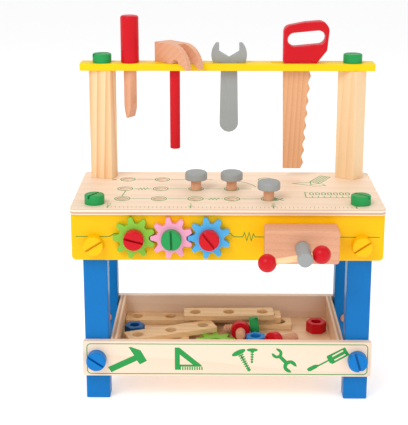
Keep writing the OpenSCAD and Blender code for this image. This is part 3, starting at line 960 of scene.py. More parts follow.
class Ticks:
    """A ruler's ticks, of which every fifth is longer."""

    NAME = "Ruler ticks"

    @classmethod
    def tree(cls) -> bpy.types.NodeTree:
        """The ticks' node tree, made once.

        Returns:
            The tree.
        """
        if cls.NAME in bpy.data.node_groups:
            return bpy.data.node_groups[cls.NAME]
        net, start, end = start_tree(cls.NAME, {
            "Count": Kind.WHOLE, "First place": Kind.VECTOR, "Pitch": Kind.NUMBER,
            "Width": Kind.NUMBER, "Short": Kind.NUMBER, "Long": Kind.NUMBER,
            "Thickness": Kind.NUMBER,
        })
        size = start.outputs
        step = net.node("ShaderNodeCombineXYZ", {0: size["Pitch"]})
        line = net.node(
            "GeometryNodeMeshLine",
            {"Count": size["Count"], "Start Location": size["First place"], "Offset": step.outputs[0]},
        )
        index = net.node("GeometryNodeInputIndex")
        fifth = net.math("LESS_THAN", net.math("MODULO", index.outputs[0], 5.0), 0.5)
        extra = net.math("SUBTRACT", size["Long"], size["Short"])
        tall = net.math("MULTIPLY_ADD", fifth, extra, size["Short"])
        scale = net.node("ShaderNodeCombineXYZ", {0: size["Width"], 1: tall, 2: size["Thickness"]})
        bar = net.node("GeometryNodeMeshCube")
        bars = net.node(
            "GeometryNodeInstanceOnPoints",
            {"Points": line.outputs[0], "Instance": bar.outputs[0], "Scale": scale.outputs[0]},
        )
        return end_tree(net, start, end, bars)


def evaluated(holder: bpy.types.Object) -> bpy.types.Mesh:
    """A plain copy of an object's mesh with its modifiers applied.

    Args:
        holder: The object.

    Returns:
        The new mesh.
    """
    bpy.context.view_layer.update()
    graph = bpy.context.evaluated_depsgraph_get()
    return bpy.data.meshes.new_from_object(holder.evaluated_get(graph))


def placed(name: str, data: bpy.types.ID) -> bpy.types.Object:
    """A new object in the scene, for a mesh, a lamp or a camera.

    Args:
        name: The object's name.
        data: What it shows.

    Returns:
        The object.
    """
    made = bpy.data.objects.new(name, data)
    bpy.context.scene.collection.objects.link(made)
    return made


def grow(mesh: bpy.types.Mesh, tree: bpy.types.NodeTree, values: dict[str, object]) -> bpy.types.Mesh:
    """Runs a node tree on a mesh and returns the plain result.

    Args:
        mesh: The mesh that the tree starts from.
        tree: The tree.
        values: Values of its inputs, by name.

    Returns:
        The new mesh.
    """
    holder = placed("growing", mesh)
    modifier = holder.modifiers.new("Grow", "NODES")
    modifier.node_group = tree
    for item in tree.interface.items_tree:
        if item.in_out == "INPUT" and item.name in values:
            modifier[item.identifier] = values[item.name]
    made = evaluated(holder)
    holder.modifiers.remove(modifier)
    bpy.data.objects.remove(holder)
    return made


# ---- Pieces ----


def cut(body: Shape, tool: Shape) -> Shape:
    """Cuts one closed shape out of another.

    Args:
        body: What is cut.
        tool: What is taken away.

    Returns:
        The shape that is left.
    """
    kept, taken = (placed("cutting", shape.mesh("cutting")) for shape in (body, tool))
    modifier = kept.modifiers.new("Cut", "BOOLEAN")
    modifier.operation, modifier.object, modifier.solver = "DIFFERENCE", taken, "EXACT"
    left = evaluated(kept)
    for made in (kept, taken):
        bpy.data.objects.remove(made)
    return shape_of(left)


def seat(
    mesh: bpy.types.Mesh, name: str, body: str, nodes: Sequence[str], flat: bool = False
) -> bpy.types.Object:
    """Puts a finished mesh into the scene on its CAD body.

    Args:
        mesh: The finished mesh.
        name: The piece's name.
        body: The CAD body that it moves with.
        nodes: The CAD nodes that it stands for.
        flat: Whether its faces are shaded flat.

    Returns:
        The piece.
    """
    made = placed(name, mesh)
    if flat:
        mesh.shade_flat()
    else:
        mesh.shade_smooth()
        mesh.set_sharp_from_angle(angle=math.radians(SHARP_ANGLE))
        modifier = made.modifiers.new("Even shading", "WEIGHTED_NORMAL")
        modifier.keep_sharp, modifier.weight = True, 90
        smooth = evaluated(made)
        made.modifiers.remove(modifier)
        made.data = smooth
    made.data.name = name
    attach(made, body)
    if nodes:
        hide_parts(*nodes)
    log.info("%s: %d faces on %s", name, len(made.data.polygons), body)
    return made


def piece(
    name: str, shape: Shape, finish: Finish, nodes: Sequence[str] = (), body: str = BENCH,
    flat: bool = False,
) -> bpy.types.Object:
    """Makes a piece from a shape.

    Args:
        name: The piece's name.
        shape: Its shape, in place.
        finish: What it is finished with.
        nodes: The CAD nodes that it stands for.
        body: The CAD body that it moves with.
        flat: Whether its faces are shaded flat.

    Returns:
        The piece.
    """
    mesh = shape.mesh(name)
    mesh.materials.append(finish.material())
    return seat(mesh, name, body, nodes, flat)


class Facing(Enum):
    """Which way a screw's head looks, as the turn of a screw that stands head up."""

    UP = (0.0, 0.0, 0.0)
    FRONT = (90.0, 0.0, 0.0)
    REAR = (-90.0, 0.0, 0.0)


@dataclass
class WoodenScrew:
    """The bench's slotted wooden screw, seated at zero with its head up."""

    shank_r: float = 7.0
    length: float = 38.5
    head_r: float = 13.5
    head_h: float = 13.0
    slot_w: float = 3.0
    slot_depth: float = 4.4
    pitch: float = 3.9
    thread_depth: float = 1.3
    rings_a_turn: int = 7
    sides: int = 32

    def head(self) -> Shape:
        """The head: a low drum with a rounded top edge and a sawn slot.

        Returns:
            The head's shape.
        """
        block = drum(self.head_r, 0, self.head_h, (0.7, 2.2), (3, 5))
        depth = self.slot_depth
        saw = slab(rounded(2 * self.head_r + 4, self.slot_w, 0.2), 2 * depth, soft=0.0)
        return cut(block, saw.at(Matrix.Translation((0, 0, self.head_h - depth))))

    def shank(self, finish: Finish) -> bpy.types.Mesh:
        """The threaded shank, running down from the head.

        Args:
            finish: What it is finished with.

        Returns:
            The shank's mesh, in metres.
        """
        turns = self.length / self.pitch
        values = {
            "Radius": self.shank_r * MM, "Length": self.length * MM, "Pitch": self.pitch * MM,
            "Depth": self.thread_depth * MM, "Rings": int(turns * self.rings_a_turn),
            "Sides": self.sides, "Finish": finish.material(),
        }
        return grow(bpy.data.meshes.new("shank"), Thread.tree(), values)

    def row(
        self, name: str, finish: Finish, slot: str, nodes: Sequence[str], facing: Facing,
        first: Vector, step: Vector, turns: Point, count: int = 2,
    ) -> None:
        """Sets a row of these screws in the bench.

        Args:
            name: Name of the pieces.
            finish: The heads' lacquer.
            slot: The record's material slot; not used.
            nodes: The CAD nodes that the row stands for.
            facing: Where the heads look.
            first: Seat of the first screw, in millimetres.
            step: From one screw to the next.
            turns: Turn of the first slot, and the turn added for each next one, in degrees.
            count: Number of screws.
        """
        values = {
            "Count": count, "First place": first * MM, "Step": step * MM,
            "Facing": Vector([math.radians(a) for a in facing.value]),
            "First turn": math.radians(turns[0]), "Turn step": math.radians(turns[1]),
        }
        heads = grow(self.head().mesh(name), Copies.tree(), values | {"Finish": finish.material()})
        seat(heads, f"{name}_heads", BENCH, nodes)
        shanks = grow(self.shank(SHANK), Copies.tree(), values | {"Finish": SHANK.material()})
        seat(shanks, f"{name}_shanks", BENCH, nodes)

    def loose(
        self, name: str, finish: Finish, node: str, place: Matrix, turn: float
    ) -> None:
        """Lays one such screw somewhere.

        Args:
            name: Name of the pieces.
            finish: The head's lacquer.
            node: The CAD node that it stands for.
            place: Where its seat and axis go.
            turn: Turn of its slot in degrees.
        """
        spin = place @ rotation(turn, "Z")
        piece(f"{name}_head", self.head().at(spin), finish, [node])
        piece(f"{name}_shank", shape_of(self.shank(SHANK)).at(spin), SHANK, [node])


@dataclass
class Bench:
    """Legs, aprons, tabletop, posts and tool shelf."""

    top_w: float = 420.0
    top_d: float = 194.0
    top_t: float = 8.5
    top_z: float = 280.0
    leg_x: float = 179.0
    leg_w: float = 33.0
    leg_d: float = 25.0
    inset: float = 27.0
    board_t: float = 10.0
    board_d: float = 4.5
    apron_w: float = 418.0
    apron_h: float = 64.5
    post_d: float = 26.0
    post_h: float = 159.0
    stud_r: float = 7.0
    stud_low: float = 249.5
    stud_high: float = 303.5
    shelf_d: float = 32.0
    shelf_t: float = 10.0
    tool_slot_d: float = 9.5
    hole_r: float = 8.0
    hole_pitch: float = 50.0
    hole_x: float = -143.5
    hole_d: float = 49.5
    apron_screw_z: float = 229.5
    tray_screw_z: float = 63.5

    @property
    def under_top(self) -> float:
        """Height of the tabletop's underside."""
        return self.top_z - self.top_t

    @property
    def rear_d(self) -> float:
        """Depth of the rear legs, the posts and the shelf."""
        return self.top_d - self.inset

    def holes(self) -> list[Point]:
        """Centres of the peg holes.

        Returns:
            Each as its X and its depth.
        """
        return [
            (self.hole_x + c * self.hole_pitch, self.hole_d + r * self.hole_pitch)
            for c in range(5) for r in range(3)
        ]

    def legs(self) -> None:
        """The four blue legs."""
        leg = slab(rounded(self.leg_w, self.leg_d, 2), self.under_top, soft=0.9)
        for side, x in (("left", -self.leg_x), ("right", self.leg_x)):
            for row, d in (("front", self.inset), ("rear", self.rear_d)):
                name = f"leg_{row}_{side}"
                piece(f"blue_{name}", leg.at(spot(x, d, 0)), BLUE, [name])

    def aprons(self, vise: "Vise") -> None:
        """The two yellow aprons, with the vise's holes in the front one.

        Args:
            vise: The vise that the front apron carries.
        """
        half, low, high = self.apron_w / 2, self.under_top - self.apron_h, self.under_top
        outline = (
            arc(half - 2, high - 2, 2, 0, 90, 4) + arc(2 - half, high - 2, 2, 90, 180, 4)
            + arc(6 - half, low + 6, 6, 180, 270, 8) + arc(half - 6, low + 6, 6, 270, 360, 8)
        )
        holes = [ring(SCREW_BORE, vise.x, vise.z)]
        holes += [ring(PIN_BORE, vise.x + side * vise.pin_x, vise.z, 32) for side in (-1, 1)]
        for label, drilled, back in (
            ("front", holes, self.board_d + self.board_t), ("rear", [], self.top_d - self.board_d),
        ):
            board = slab(outline, self.board_t, drilled, soft=1.0).at(upright(back))
            piece(f"{label}_apron_board", board, YELLOW, [f"{label}_apron"])

    def top(self) -> None:
        """The plywood tabletop with its grid of peg holes."""
        holes = [ring(self.hole_r, x, d - self.top_d / 2) for x, d in self.holes()]
        board = slab(rounded(self.top_w, self.top_d, 8), self.top_t, holes, soft=0.8)
        place = spot(0, self.top_d / 2, self.under_top)
        piece("plywood_tabletop", board.at(place), BIRCH, ["tabletop"])

    def posts(self) -> None:
        """The two bare posts, each turned about itself, and their hidden studs."""
        post = slab(rounded(self.leg_w, self.post_d, 2), self.post_h, soft=0.6)
        for side, x, turn, finish in (
            ("left", -self.leg_x, -14.0, POST), ("right", self.leg_x, -42.0, PLAIN_POST),
        ):
            place = spot(x, self.rear_d, self.top_z) @ rotation(turn, "Z")
            piece(f"pine_post_{side}", post.at(place), finish, [f"post_{side}"])
        studs = Shape()
        for x in (-self.leg_x, self.leg_x):
            studs.add(rod(self.stud_r, self.stud_low, self.stud_high), spot(x, self.rear_d, 0))
        piece("hidden_studs", studs, BEECH_UP, ["post_studs"])

    def shelf(self) -> None:
        """The yellow shelf with a round hole or a slot for each tool."""
        screwdriver, hammer = ring(10, -139), ring(8.5, -75)
        wrench = rounded(29, self.tool_slot_d, 0.3, 2.7)
        saw = rounded(59.5, self.tool_slot_d, 0.3, 93.25)
        holes = [screwdriver, hammer, wrench, saw]
        board = slab(rounded(self.top_w, self.shelf_d, 3), self.shelf_t, holes, soft=0.8)
        place = spot(0, self.rear_d, self.top_z + self.post_h)
        piece("yellow_tool_shelf", board.at(place), SHELF_YELLOW, ["tool_shelf"])

    def screws(self) -> None:
        """Every pair of screws that holds the bench together."""
        screw = WoodenScrew()
        across = Vector((2 * self.leg_x, 0, 0))

        front, rear = self.board_d, self.top_d - self.board_d
        shelf_top = self.top_z + self.post_h + self.shelf_t
        apron_z, tray_z = self.apron_screw_z, self.tray_screw_z
        rows = (
            ("tabletop_screws", GREEN, "green_lacquer", Facing.UP, self.inset, self.top_z, (60, -101)),
            ("shelf_screws", GREEN, "green_lacquer", Facing.UP, self.rear_d, shelf_top, (35, -47)),
            ("front_apron_screws", YELLOW, "yellow_lacquer", Facing.FRONT, front, apron_z, (32, 2)),
            ("rear_apron_screws", YELLOW, "yellow_lacquer", Facing.REAR, rear, apron_z, (20, 55)),
            ("tray_front_screws", ROYAL, "blue_lacquer", Facing.FRONT, front, tray_z, (-35, -39)),
            ("tray_rear_screws", ROYAL, "blue_lacquer", Facing.REAR, rear, tray_z, (50, -40)),
        )
        for node, finish, slot, facing, d, z, turns in rows:
            left = Vector((-self.leg_x, FRONT_EDGE_Y + d, z))
            screw.row(f"set_{node}", finish, slot, [node], facing, left, across, turns)

    def build(self, vise: "Vise") -> None:
        """Builds the whole bench frame.

        Args:
            vise: The vise that the front apron carries.
        """
        self.legs()
        self.aprons(vise)
        self.top()
        self.posts()
        self.shelf()
        self.screws()


@dataclass
class Tray:
    """The open parts tray between the legs."""

    width: float = 397.0
    height: float = 51.0
    low: float = 38.0
    board_t: float = 10.0
    front_d: float = 4.5
    rear_d: float = 179.5
    side_x: float = 156.0
    side_t: float = 9.0
    floor_z: float = 49.5
    floor_t: float = 4.5
    groove: float = 3.3
    dowel_r: float = 2.45
    dowel_len: float = 22.0

    def build(self) -> None:
        """Builds boards, sides, floor and dowels."""
        middle = self.low + self.height / 2
        board = slab(rounded(self.width, self.height, 3, 0, middle), self.board_t, soft=1.1)
        for label, d in (("front", self.front_d), ("rear", self.rear_d)):
            piece(f"tray_{label}_panel", board.at(upright(d + self.board_t)), BOARD,
                  [f"tray_{label}_board"])
        start = self.front_d + self.board_t
        length = self.rear_d - start
        side = slab(rounded(self.side_t, self.height, 0.9, 0, middle, 2), length, soft=0.0)
        for label, x in (("left", -self.side_x), ("right", self.side_x)):
            place = Matrix.Translation((x, 0, 0)) @ upright(self.rear_d)
            piece(f"tray_side_{label}_panel", side.at(place), TRAY_PLY, [f"tray_side_{label}"])
        inner = 2 * (self.side_x - self.side_t / 2)
        floor = slab(rounded(inner + 2 * self.groove, length, 0.5), self.floor_t, soft=0.3)
        piece("tray_bottom", floor.at(spot(0, (start + self.rear_d) / 2, self.floor_z)), TRAY_FLOOR,
              ["tray_floor"])
        dowels, dowel = Shape(), rod(self.dowel_r, 0, self.dowel_len, 0.4, 20)
        for x in (-self.side_x, self.side_x):
            for z in (self.low + 6, self.low + self.height - 9):
                for low in (start - 7, self.rear_d - 15):
                    dowels.add(dowel, spot(x, low, z) @ rotation(-90, "X"))
        piece("tray_joint_dowels", dowels, SHANK, ["tray_dowels"])


def gear_outline(tip: float = 28.5, root: float = 20.0, teeth: int = 9) -> Outline:
    """A gear's outline with round-cornered teeth, one of them pointing to the left.

    Args:
        tip: Radius over the teeth.
        root: Radius between the teeth.
        teeth: Number of teeth.

    Returns:
        The outline, anticlockwise.
    """
    flank_x, flank_y, tip_half, curl = 19.4, 4.85, 3.1, 2.0
    one = [(flank_x, -flank_y)]
    one += arc(tip - curl, curl - tip_half, curl, -90, 0, 4)
    one += arc(tip - curl, tip_half - curl, curl, 0, 90, 4)
    one += [(flank_x, flank_y)]
    one += arc(0, 0, root, 17.5, 22.5, 2)
    outline: Outline = []
    for i in range(teeth):
        outline += swung(one, 180 + i * 360 / teeth, 0, 0)
    return outline


@dataclass
class GearTrain:
    """The three gears on the front apron, their screws and nuts."""

    first_x: float = -124.5
    pitch: float = 50.0
    z: float = 240.5
    thick: float = 8.5
    back_d: float = 4.1
    seat_d: float = -4.8
    nut_d: float = 14.5

    def build(self) -> None:
        """Builds gears, screws and nuts."""
        wheel = slab(gear_outline(), self.thick, [ring(SCREW_BORE)], soft=0.9)
        lineup = (
            ("left", LIME, "lime_lacquer", RED, "red_lacquer", -15.0),
            ("middle", PINK, "pink_lacquer", GREEN, "green_lacquer", 92.0),
            ("right", SKY, "sky_lacquer", RED, "red_lacquer", -52.0),
        )
        for i, (label, finish, slot, head, head_slot, turn) in enumerate(lineup):
            x = self.first_x + i * self.pitch
            body = f"{label}_gear"
            place = Matrix.Translation((x, 0, self.z)) @ upright(self.back_d)
            piece(f"toothed_{body}", wheel.at(place), finish, [body], body)
            seat_at = Vector((x, FRONT_EDGE_Y + self.seat_d, self.z))
            WoodenScrew().row(f"{body}_screw", head, head_slot, [f"gear_screw_{label}"], Facing.FRONT,
                              seat_at, Vector((1, 0, 0)), (turn, 0), 1)
        nut = hex_nut()
        nuts = Shape()
        for i in range(3):
            place = spot(self.first_x + i * self.pitch, self.nut_d, self.z)
            nuts.add(nut, place @ rotation(-90, "X"))
        piece("gear_screw_nuts", nuts, ROYAL, ["gear_nuts"])


def hex_nut(flats: float = 26.4, height: float = 15.5, bore: float = 7.05) -> Shape:
    """A hexagonal wooden nut with softened edges.

    Args:
        flats: Distance across the flats.
        height: Its height.
        bore: Radius of its hole.

    Returns:
        The nut, standing on its face.
    """
    corners: Outline = []
    corner_r, sides = 1.73, 6
    reach = flats / math.sqrt(3) - 2
    for i in range(sides):
        middle = i * 360 / sides
        cx, cy = reach * math.cos(math.radians(middle)), reach * math.sin(math.radians(middle))
        corners += arc(cx, cy, corner_r, middle - 30, middle + 30, 4)
    return slab(corners, height, [ring(bore)], soft=1.1)


@dataclass
class Vise:
    """The jaw, its guide pins, the grey screw, and the crossbar with two balls."""

    x: float = 97.5
    z: float = 236.5
    jaw_w: float = 98.0
    jaw_h: float = 46.5
    jaw_t: float = 33.8
    jaw_back_d: float = 4.2
    reach: float = 79.0
    head_r: float = 9.6
    bar_d: float = -66.0
    bar_turn: float = 9.6
    bar_shift: float = -13.2
    ball_r: float = 12.0
    ball_at: float = 35.0
    pin_x: float = 32.0
    pin_r: float = 4.0
    pin_end: float = 39.0
    screw_len: float = 86.1
    gap: float = 0.4
    nut_d: float = 14.5

    @property
    def jaw_front_d(self) -> float:
        """Depth of the jaw's front face."""
        return self.jaw_back_d - self.jaw_t

    def across(self) -> Matrix:
        """The crossbar's axis, as the turn and place of a piece that stands on Z."""
        return spot(self.x, self.bar_d, self.z) @ rotation(90 - self.bar_turn, "Y")

    def build(self) -> None:
        """Builds all of the vise."""
        self.jaw()
        self.screw()
        self.crossbar()

    def jaw(self) -> None:
        """The jaw and its two guide pins."""
        jaw = slab(rounded(self.jaw_w, self.jaw_h, 4), self.jaw_t, [ring(SCREW_BORE)], soft=1.0,
                   soft_top=3.2, steps=5)
        place = Matrix.Translation((self.x, 0, self.z)) @ upright(self.jaw_back_d)
        piece("vise_jaw_block", jaw.at(place), BEECH, ["vise_jaw"], "vise_jaw")
        pins = Shape()
        for side in (-1, 1):
            along = spot(self.x + side * self.pin_x, 0, self.z) @ rotation(-90, "X")
            pins.add(rod(self.pin_r, self.jaw_front_d + 10, self.pin_end), along)
        piece("vise_pins", pins, BEECH, ["vise_guide_pins"], "vise_jaw")

    def screw(self) -> None:
        """The grey screw with its bored head, and the nut behind the apron."""
        head = rod(self.head_r, 0, self.reach + self.jaw_front_d - self.gap, 1.2, 48)
        face = spot(self.x, self.jaw_front_d - self.gap, self.z) @ rotation(90, "X")
        bore = rod(PIN_BORE, -40, 40, 0.1, 32).at(self.across())
        shank = shape_of(WoodenScrew(length=self.screw_len).shank(GREY))
        for label, shape in (("head", cut(head.at(face), bore)), ("thread", shank.at(face))):
            piece(f"vise_screw_{label}", shape, GREY, ["vise_screw"], "vise_screw")
        nut_place = spot(self.x, self.nut_d, self.z) @ rotation(-90, "X")
        piece("vise_back_nut", hex_nut(bore=SCREW_BORE).at(nut_place), BEECH, ["vise_nut"])

    def crossbar(self) -> None:
        """The bar through the screw's head, with a ball on each end."""
        half = self.ball_at + 5
        low, high = self.bar_shift - half, self.bar_shift + half
        bar = rod(self.pin_r, low, high, 0.3).at(self.across())
        piece("vise_bar", bar, DOWEL, ["vise_crossbar"], "vise_crossbar")
        balls, r = Shape(), self.ball_r
        ball = turned([(0, -r)] + arc(0, 0, r, -85, 85, 34) + [(0, r)], 56)
        for side in (-1, 1):
            shift = Matrix.Translation((0, 0, self.bar_shift + side * self.ball_at))
            balls.add(ball, self.across() @ shift)
        piece("vise_bar_balls", balls, RED, ["vise_crossbar_balls"], "vise_crossbar")


@dataclass
class Pegs:
    """The three grey-headed pegs."""

    head_r: float = 15.5
    head_h: float = 12.0
    shank_r: float = 7.25
    lift: float = 13.8
    shank_len: float = 45.0
    clearance: float = 0.2

    def build(self, bench: Bench) -> None:
        """Stands each peg in its hole.

        Args:
            bench: The bench with the holes.
        """
        head = drum(self.head_r, self.clearance, self.head_h, (1.6, 3.4))
        shank = rod(self.shank_r, -self.shank_len, 0.5, 0.4, 40)
        for label, column, row in (("left", 2, 1), ("middle", 3, 1), ("right", 4, 0)):
            x, d = bench.hole_x + column * bench.hole_pitch, bench.hole_d + row * bench.hole_pitch
            place = spot(x, d, bench.top_z + self.lift)
            node = f"peg_{label}"
            piece(f"{node}_head", head.at(place), GREY, [node], node)
            piece(f"{node}_shank", shank.at(place), BEECH_UP, [node], node)


@dataclass
class Tools:
    """The four tools that hang in the shelf."""

    depth: float = 167.0
    z: float = 449.0
    driver_x: float = -139.0
    hammer_x: float = -75.0
    wrench_x: float = 2.7
    saw_x: float = 79.3
    wrench_t: float = 8.0
    saw_t: float = 7.9

    def screwdriver(self) -> None:
        """Red handle and a wooden blade cut to a chisel edge."""
        place = spot(self.driver_x, self.depth, self.z)
        grip = drum(13, 0, 67, (1.5, 3.6)).at(place)
        piece("screwdriver_grip", grip, RED, ["screwdriver_handle"], "screwdriver")
        r, reach, edge_half, edge_run, edge_turn = 9.15, 80, 0.8, 23, 57
        tang_r, tang_h = 5, 28
        blade = turned([(0, -reach), (r, -reach), (r, 0), (tang_r, 0), (tang_r, tang_h), (0, tang_h)])
        angle = math.degrees(math.atan((r - edge_half) / edge_run))
        wedge = slab([(-15, 0), (15, 0), (15, 30), (-15, 30)], 60, soft=0.0)
        lean = rotation(-angle, "X") @ Matrix.Translation((0, 0, -10))
        for flip in (180, 0):
            edge = Matrix.Translation((0, edge_half, -reach)) @ lean
            blade = cut(blade, wedge.at(rotation(edge_turn + flip, "Z") @ edge))
        piece("screwdriver_chisel", blade.at(place), BEECH_UP, ["screwdriver_blade"],
              "screwdriver")

    def hammer(self) -> None:
        """Beech head with two claws, on a red handle."""
        width, height, back = 30, 28, -28
        claw_x, claw_run, claw_drop = 10, 37, 33
        turns = [math.radians(a) for a in range(0, 91, 6)]
        claw = [
            (claw_x + claw_run * math.sin(a), height + claw_drop * (math.cos(a) - 1)) for a in turns
        ]
        side = [(back, 0), (back, height)] + claw + [(43.2, -5.4), (35.5, 0.2)]
        side += arc(19.5, -2, 9.2, 20, 160, 8) + [(claw_x, 0)]
        stand = Matrix.Translation((0, width / 2, 0)) @ rotation(90, "X")
        head = slab(side[::-1], width, soft=0.9).at(stand)
        gap = slab([(14, -6), (60, -8.6), (60, 8.6), (14, 6)], 70, soft=0.0)
        gap = gap.at(Matrix.Translation((0, 0, -25)))
        place = spot(self.hammer_x, self.depth, self.z) @ rotation(-50, "Z")
        piece("hammer_claw_head", cut(head, gap).at(place), BEECH, ["hammer_head"], "hammer")
        handle = rod(7.5, -126, 21.5, 1.4, 40)
        piece("hammer_red_handle", handle.at(place), RED, ["hammer_handle"], "hammer")

    def wrench(self) -> None:
        """Grey open-ended wrench with a round-ended handle."""
        head_r, head_z, jaw_h, neck, foot_r, foot_z = 25.4, 11.0, 17.5, 11.6, 13.4, -87.5
        top = math.degrees(math.asin(jaw_h / head_r))
        foot = math.degrees(math.asin(-head_z / head_r))
        right = arc(0, head_z, head_r, top, foot, 14) + [(neck, 0)]
        right += arc(0, foot_z, foot_r, 0, -90, 10)
        mouth = [(14.3, 16.5), (14.3, 27.7), (15.1, 28.5)]
        outline = [(0, 8)] + mouth + right
        outline += [(-x, y) for x, y in right[::-1][1:]] + [(-x, y) for x, y in mouth[::-1]]
        body = slab(outline[::-1], self.wrench_t, soft=0.9)
        place = Matrix.Translation((self.wrench_x, 0, self.z)) @ upright(self.depth + self.wrench_t / 2)
        piece("grey_wrench", body.at(place), GREY, ["wrench"], "wrench")

    def saw(self) -> None:
        """Red handle with a slotted grip, and a wavy wooden blade."""
        thick, grip_r, grip_run, grip_turn = 18, 9.8, 33.6, 5.5
        oblong = arc(0, 0, grip_r, 90, 270, 12) + arc(grip_run, 0, grip_r, -90, 90, 12)
        hole = swung(oblong, grip_turn, 16, 33.5)
        outline = (
            arc(3, 3, 3, 180, 270, 4) + [(48, 0)] + arc(57.5, 20, 5, -45, 0, 3)
            + arc(50, 45, 15, 0, 85, 8) + [(30, 58.2)] + arc(10, 44, 10, 105, 180, 5)
        )
        place = Matrix.Translation((self.saw_x, 0, self.z))
        handle = slab(outline, thick, [hole], soft=1.9, steps=4)
        piece("saw_red_grip", handle.at(place @ upright(self.depth + thick / 2)), RED,
              ["saw_handle"], "saw")
        waves, steps, wave_depth, taper, start, run = 8, 96, 3.0, 9.5, -10, 145.5
        edge = []
        for i in range(steps + 1):
            t = i / steps
            dip = wave_depth * abs(math.cos(math.pi * waves * t)) ** 1.6
            edge.append((41 - taper * t - dip, start - t * run))
        back = [(2.6, start - run), (0.3, 0), (4.2, 0), (4.2, 13), (37.8, 13), (37.8, 0), (38.8, 0)]
        blade = slab(back + edge, self.saw_t, soft=0.6)
        piece("saw_wavy_blade", blade.at(place @ upright(self.depth + self.saw_t / 2)), SAW_WOOD,
              ["saw_blade"], "saw")

    def build(self) -> None:
        """Builds the four tools."""
        self.screwdriver()
        self.hammer()
        self.wrench()
        self.saw()


@dataclass
class TrayContents:
    """Spare beams, nuts, a gear and screws that lie in the tray."""

    floor: float = 54.0
    beam_t: float = 8.0
    beam_w: float = 31.0
    beam_hole_r: float = 8.0
    tips_over: float = 20.0

    def beams(self) -> None:
        """The six beams, in up to three layers."""
        long, short = (134.0, (-50, 0, 50)), (84.0, (-25, 25))
        stack = (
            ("beam_rear", -84.0, 163.0, 0, 0.0, long), ("beam_bottom", 56.0, 144.0, 0, 0.0, short),
            ("beam_middle", 15.2, 152.5, 1, 0.0, long), ("beam_top", 4.1, 142.0, 2, 1.5, long),
            ("beam_short", -96.0, 75.0, 0, 0.0, short), ("beam_slanted", -80.5, 92.3, 1, 21.0, long),
        )
        for node, x, d, layer, turn, (length, holes) in stack:
            drilled = [ring(self.beam_hole_r, h, 0, 40) for h in holes]
            board = slab(rounded(length, self.beam_w, 3), self.beam_t, drilled, soft=0.8)
            place = spot(x, d, self.floor + layer * self.beam_t) @ rotation(turn, "Z")
            piece(f"pine_{node}", board.at(place), BEAM, [node])

    def nuts_and_gear(self) -> None:
        """The three nuts and the spare gear."""
        for node, x, d, turn, finish, slot in (
            ("nut_navy", -134.5, 111.5, 8.0, NAVY, "navy_lacquer"),
            ("nut_blue", 42.0, 72.8, 30.0, MID_BLUE, "sky_lacquer"),
            ("nut_red", 133.4, 127.0, 0.0, RED, "red_lacquer"),
        ):
            place = spot(x, d, self.floor) @ rotation(turn, "Z")
            piece(f"hexagonal_{node}", hex_nut().at(place), finish, [node])
        wheel = slab(gear_outline(), self.beam_t, [ring(SCREW_BORE)], soft=0.9)
        place = spot(-15.4, 74.8, self.floor) @ rotation(-90, "Z")
        piece("spare_gear", wheel.at(place), LIME, ["loose_gear"])

    def screws(self) -> None:
        """The three screws that lie on the floor, their tips down."""
        for node, x, d, turn, slot_turn, length, finish, slot in (
            ("loose_screw_green", 35.0, 111.0, 180.0, 20.0, 38.5, GREEN, "green_lacquer"),
            ("loose_screw_short", 20.5, 90.0, -90.0, 0.0, 18.0, RED, "red_lacquer"),
            ("loose_screw_red", 71.6, 59.2, 40.0, 60.0, 38.5, RED, "red_lacquer"),
        ):
            screw = WoodenScrew(length=length)
            dip = 0.0
            if length >= self.tips_over:
                dip = math.degrees(math.asin((screw.head_r - screw.shank_r) / (length + screw.head_h)))
            high = spot(x, d, self.floor + screw.head_r)
            place = high @ rotation(turn, "Z") @ rotation(dip - 90, "Y")
            screw.loose(f"tray_{node}", finish, node, place, slot_turn)

    def build(self) -> None:
        """Builds everything that lies in the tray."""
        self.beams()
        self.nuts_and_gear()
        self.screws()


